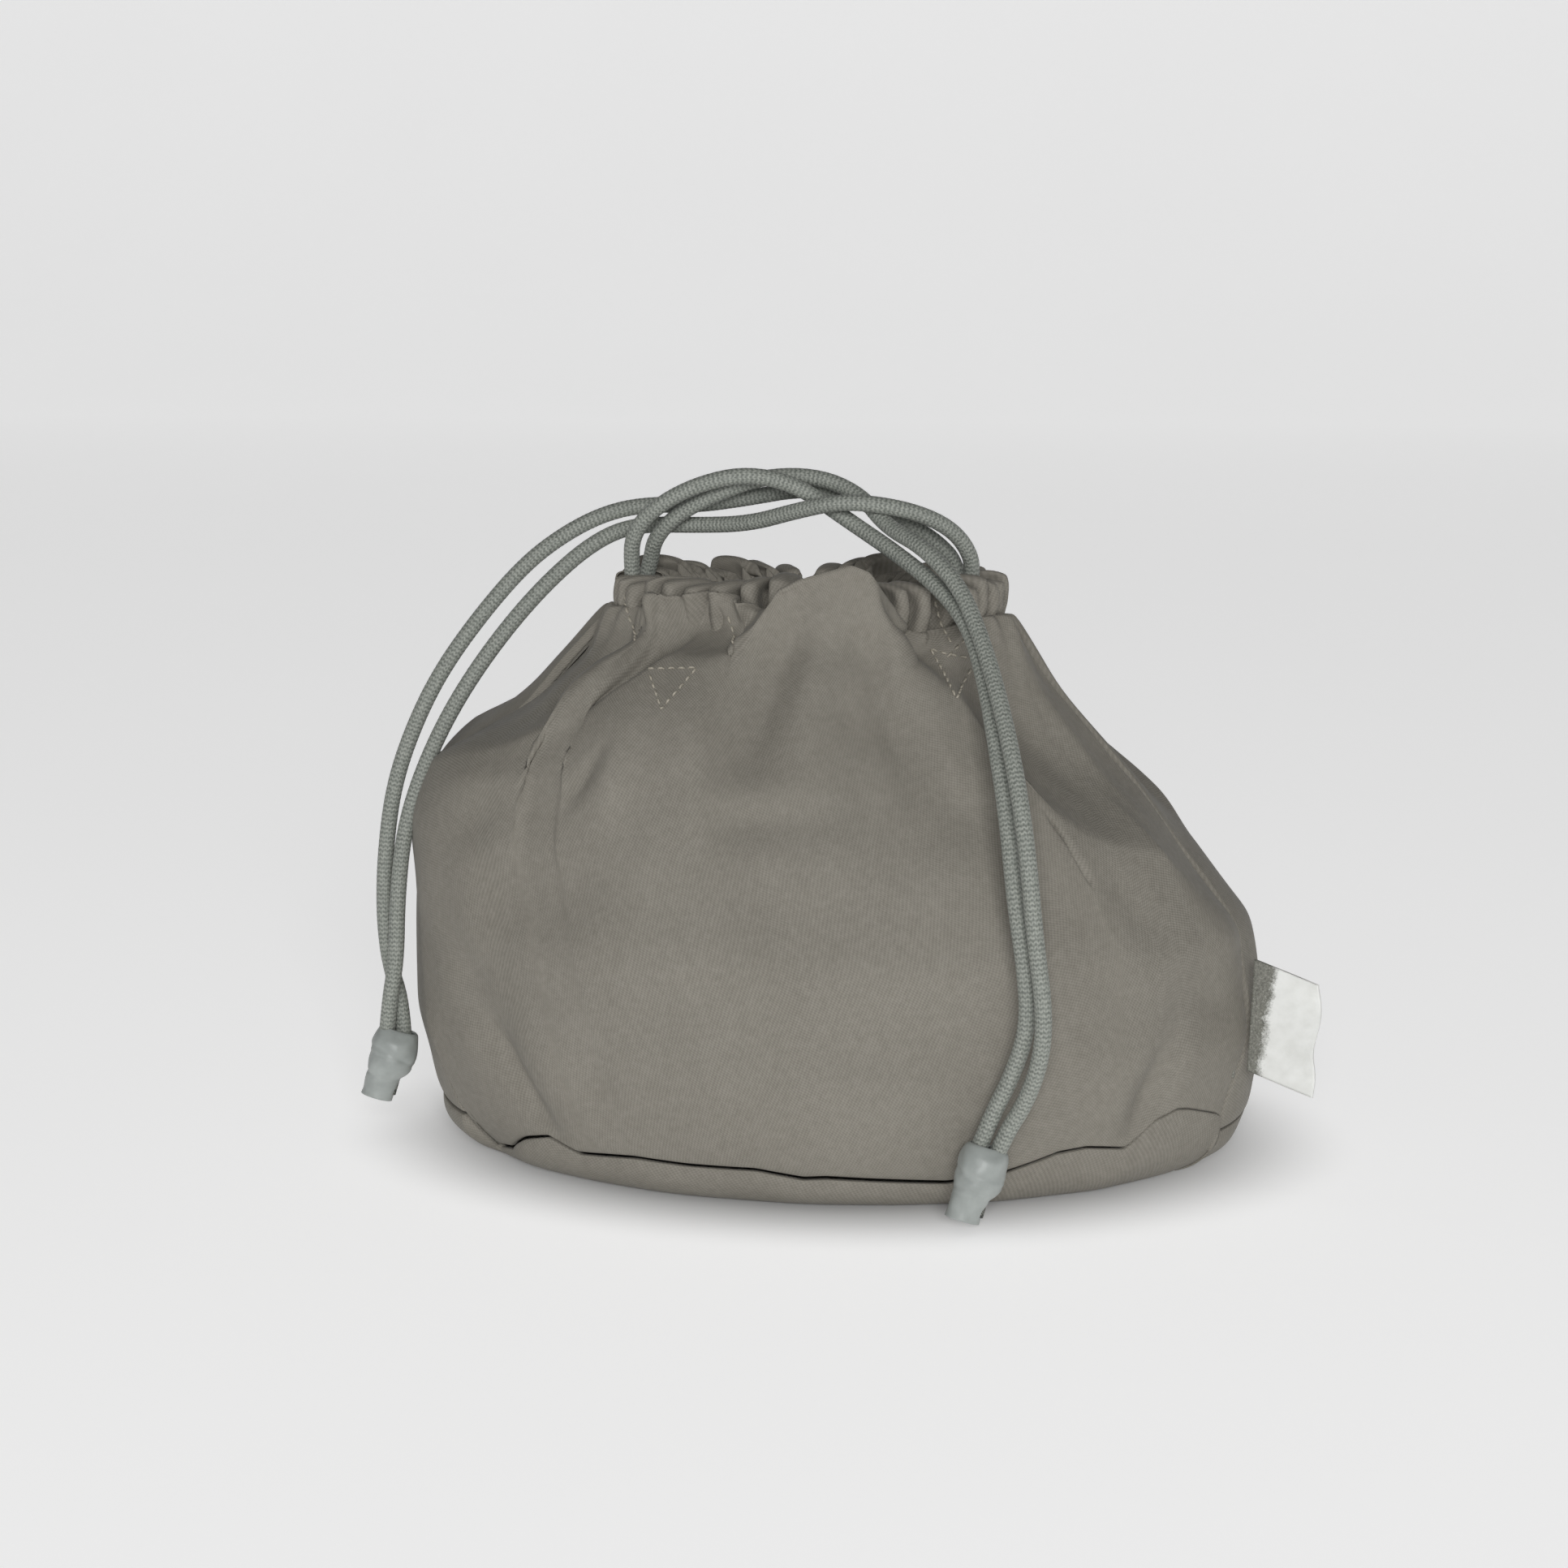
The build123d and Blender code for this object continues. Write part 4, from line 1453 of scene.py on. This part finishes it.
tree.links.new(tone.outputs["Color"], shader.inputs["Base Color"])
nodes = {o.name: o for o in bpy.data.objects}
for name in ("left", "right"):
    for node, finish in (("cord_ends_" + name, cut_end_painted_shade_finish), ("cord_knot_" + name, knot_finish)):
        held = nodes[node]
        held.data.materials.clear()
        held.data.materials.append(finish)

# %% [markdown]
# ## The side label
# A soft folded label is caught in the side seam: its raw edge is heathered grey, and it fades through loose
# specks to white. It is a strip of thick woven felt folded at the outer edge, so it is drawn as one sheet
# that runs out,
# turns round the fold, and comes back.

# %% Label
LABEL_SLIDE = Vector((0.0527, 0.2491, 0.9670)) * 0.003
LABEL_FOOT = Vector((0.1259, -0.0327, 0.0300)) + LABEL_SLIDE
LABEL_HEAD = Vector((0.1277, -0.0242, 0.0630)) + LABEL_SLIDE
LABEL_REACH = Vector((0.0195, -0.0090, -0.0055))


def label_grid(columns=56, rows=73):
    edge = LABEL_HEAD - LABEL_FOOT
    long = LABEL_REACH.length - 0.0004
    face = LABEL_REACH.cross(edge).normalized()
    ahead = LABEL_REACH.normalized()
    points = np.zeros((columns, rows, 3))
    for i in range(columns):
        v = i / (columns - 1)
        for j in range(rows):
            run = j / (rows - 1) * 2 - 1
            side = 1 if run < 0 else -1
            s = (1 - abs(run)) * 1.06
            reach = min(1.0, s) * long
            half = 0.00062 * (1.0 if s < 0.9 else max(0.0, 1 - ((s - 0.9) / 0.16) ** 2) ** 0.5)
            swell = 1 + 0.25 * sin(pi * min(s, 1.0)) * sin(pi * v)
            place = LABEL_FOOT + edge * v + ahead * reach + face * side * half * swell
            wave = 0.0011 * sin(pi * s * 0.5) * sin(v * 5.2 + 0.8) + 0.0006 * sin(s * 4 + v * 9)
            place += face * wave * s
            place += edge.normalized() * (0.0007 * s * sin(v * pi * 3.1))
            place += ahead * (0.0005 * s * sin(v * 11.0))
            points[i, j] = place
    return points


points = label_grid()
side_label = grid_mesh("folded_side_label", points, 0.034, False)
select_only(side_label)
bpy.ops.object.mode_set(mode="EDIT")
bpy.ops.mesh.select_all(action="DESELECT")
bm = bmesh.from_edit_mesh(side_label.data)
for edge in bm.edges:
    edge.select = edge.is_boundary
bmesh.update_edit_mesh(side_label.data)
bpy.ops.mesh.edge_face_add()
bpy.ops.mesh.select_all(action="SELECT")
bpy.ops.mesh.normals_make_consistent(inside=False)
bpy.ops.object.mode_set(mode="OBJECT")

label_finish, tree, shader = new_material("heathered_woven_felt", Roughness=0.8)
uv = add_node(tree, "ShaderNodeUVMap")
coords = add_node(tree, "ShaderNodeTexCoord")
parts = add_node(tree, "ShaderNodeSeparateXYZ", links={"Vector": uv.outputs["UV"]})
folded = add_node(tree, "ShaderNodeMath", {"operation": "PINGPONG"}, {1: 0.0229}, {0: parts.outputs["Y"]})
slope = add_node(
    tree,
    "ShaderNodeMath",
    {"operation": "MULTIPLY_ADD"},
    {1: -0.10},
    {0: parts.outputs["X"], 2: folded.outputs["Value"]},
)
specks = add_node(
    tree,
    "ShaderNodeTexNoise",
    values={"Scale": 1500.0, "Detail": 5.0, "Roughness": 0.8},
    links={"Vector": coords.outputs["Object"]},
)
ragged = add_node(
    tree,
    "ShaderNodeTexNoise",
    values={"Scale": 240.0, "Detail": 3.0},
    links={"Vector": coords.outputs["Object"]},
)
rough_edge = add_node(
    tree,
    "ShaderNodeMath",
    {"operation": "MULTIPLY_ADD"},
    {1: 0.0045},
    {0: ragged.outputs["Fac"], 2: slope.outputs["Value"]},
)
speckled = add_node(
    tree,
    "ShaderNodeMath",
    {"operation": "MULTIPLY_ADD"},
    {1: 0.006},
    {0: specks.outputs["Fac"], 2: rough_edge.outputs["Value"]},
)
fade = add_node(
    tree, "ShaderNodeMapRange", values={
        "From Min": 0.0078, "From Max": 0.0105
    }, links={"Value": speckled.outputs["Value"]}
)
heather = ramp(tree, specks.outputs["Fac"], [(0.35, "5d5d56"), (0.55, "86867e"), (0.68, "a9a9a1")])
white = ramp(tree, ragged.outputs["Fac"], [(0.3, "e6e7e3"), (0.7, "f1f2ef")])
blend_tone = add_node(tree, "ShaderNodeMix", {"data_type": "RGBA"}, links={0: fade.outputs["Result"]})
tree.links.new(heather.outputs["Color"], blend_tone.inputs[6])
tree.links.new(white.outputs["Color"], blend_tone.inputs[7])
tree.links.new(blend_tone.outputs[2], shader.inputs["Base Color"])
bump = add_node(
    tree,
    "ShaderNodeBump",
    values={"Strength": 0.5, "Distance": 0.0002},
    links={"Height": specks.outputs["Fac"]},
)
tree.links.new(bump.outputs["Normal"], shader.inputs["Normal"])
side_label.data.materials.append(label_finish)
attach(side_label, "label")
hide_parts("side_label")

sewn_finish, tree, shader = new_material("heathered_felt_edge", Roughness=0.85)
coords = add_node(tree, "ShaderNodeTexCoord")
specks = add_node(
    tree,
    "ShaderNodeTexNoise",
    values={"Scale": 1500.0, "Detail": 5.0, "Roughness": 0.8},
    links={"Vector": coords.outputs["Object"]},
)
heather = ramp(tree, specks.outputs["Fac"], [(0.35, "5d5d56"), (0.55, "86867e"), (0.68, "a9a9a1")])
tree.links.new(heather.outputs["Color"], shader.inputs["Base Color"])
# The sewn-in edge lies 3 mm deeper than the solid's, so that it stays behind the cloth of the seam.
SEWN_DEPTH = 0.003  # metres
tucked_mesh = nodes["label_sewn_edge"].data.copy()
tucked_mesh.transform(nodes["label_sewn_edge"].matrix_world)
for vertex in tucked_mesh.vertices:
    inward = Vector((MOUTH_X - vertex.co.x, MOUTH_Y - vertex.co.y, 0.0)).normalized()
    vertex.co += inward * SEWN_DEPTH
tucked_mesh.materials.clear()
tucked_mesh.materials.append(sewn_finish)
tucked_edge = bpy.data.objects.new("tucked_label_edge", tucked_mesh)
bpy.context.collection.objects.link(tucked_edge)
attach(tucked_edge, "bag")
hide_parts("label_sewn_edge")

# %% [markdown]
# ## What the soft pieces are
# A free cord is declared with its real length, and a cloth panel with the size that it was cut to, so that
# a shop or a simulation knows what it is made from.

# %% Cloth area of the wall panels
for node, (tube, points, length) in strands.items():
    side = "right" if node.startswith("left_exit") else "left"


def panel_area(side):
    p = walls[side]
    a = np.linalg.norm(np.cross(p[1:, :-1] - p[:-1, :-1], p[:-1, 1:] - p[:-1, :-1]), axis=-1) / 2
    b = np.linalg.norm(np.cross(p[:-1, 1:] - p[1:, 1:], p[1:, :-1] - p[1:, 1:]), axis=-1) / 2
    return float(a.sum() + b.sum())


print("panel cloth", {side: round(panel_area(side), 4) for side in walls}, "m2")
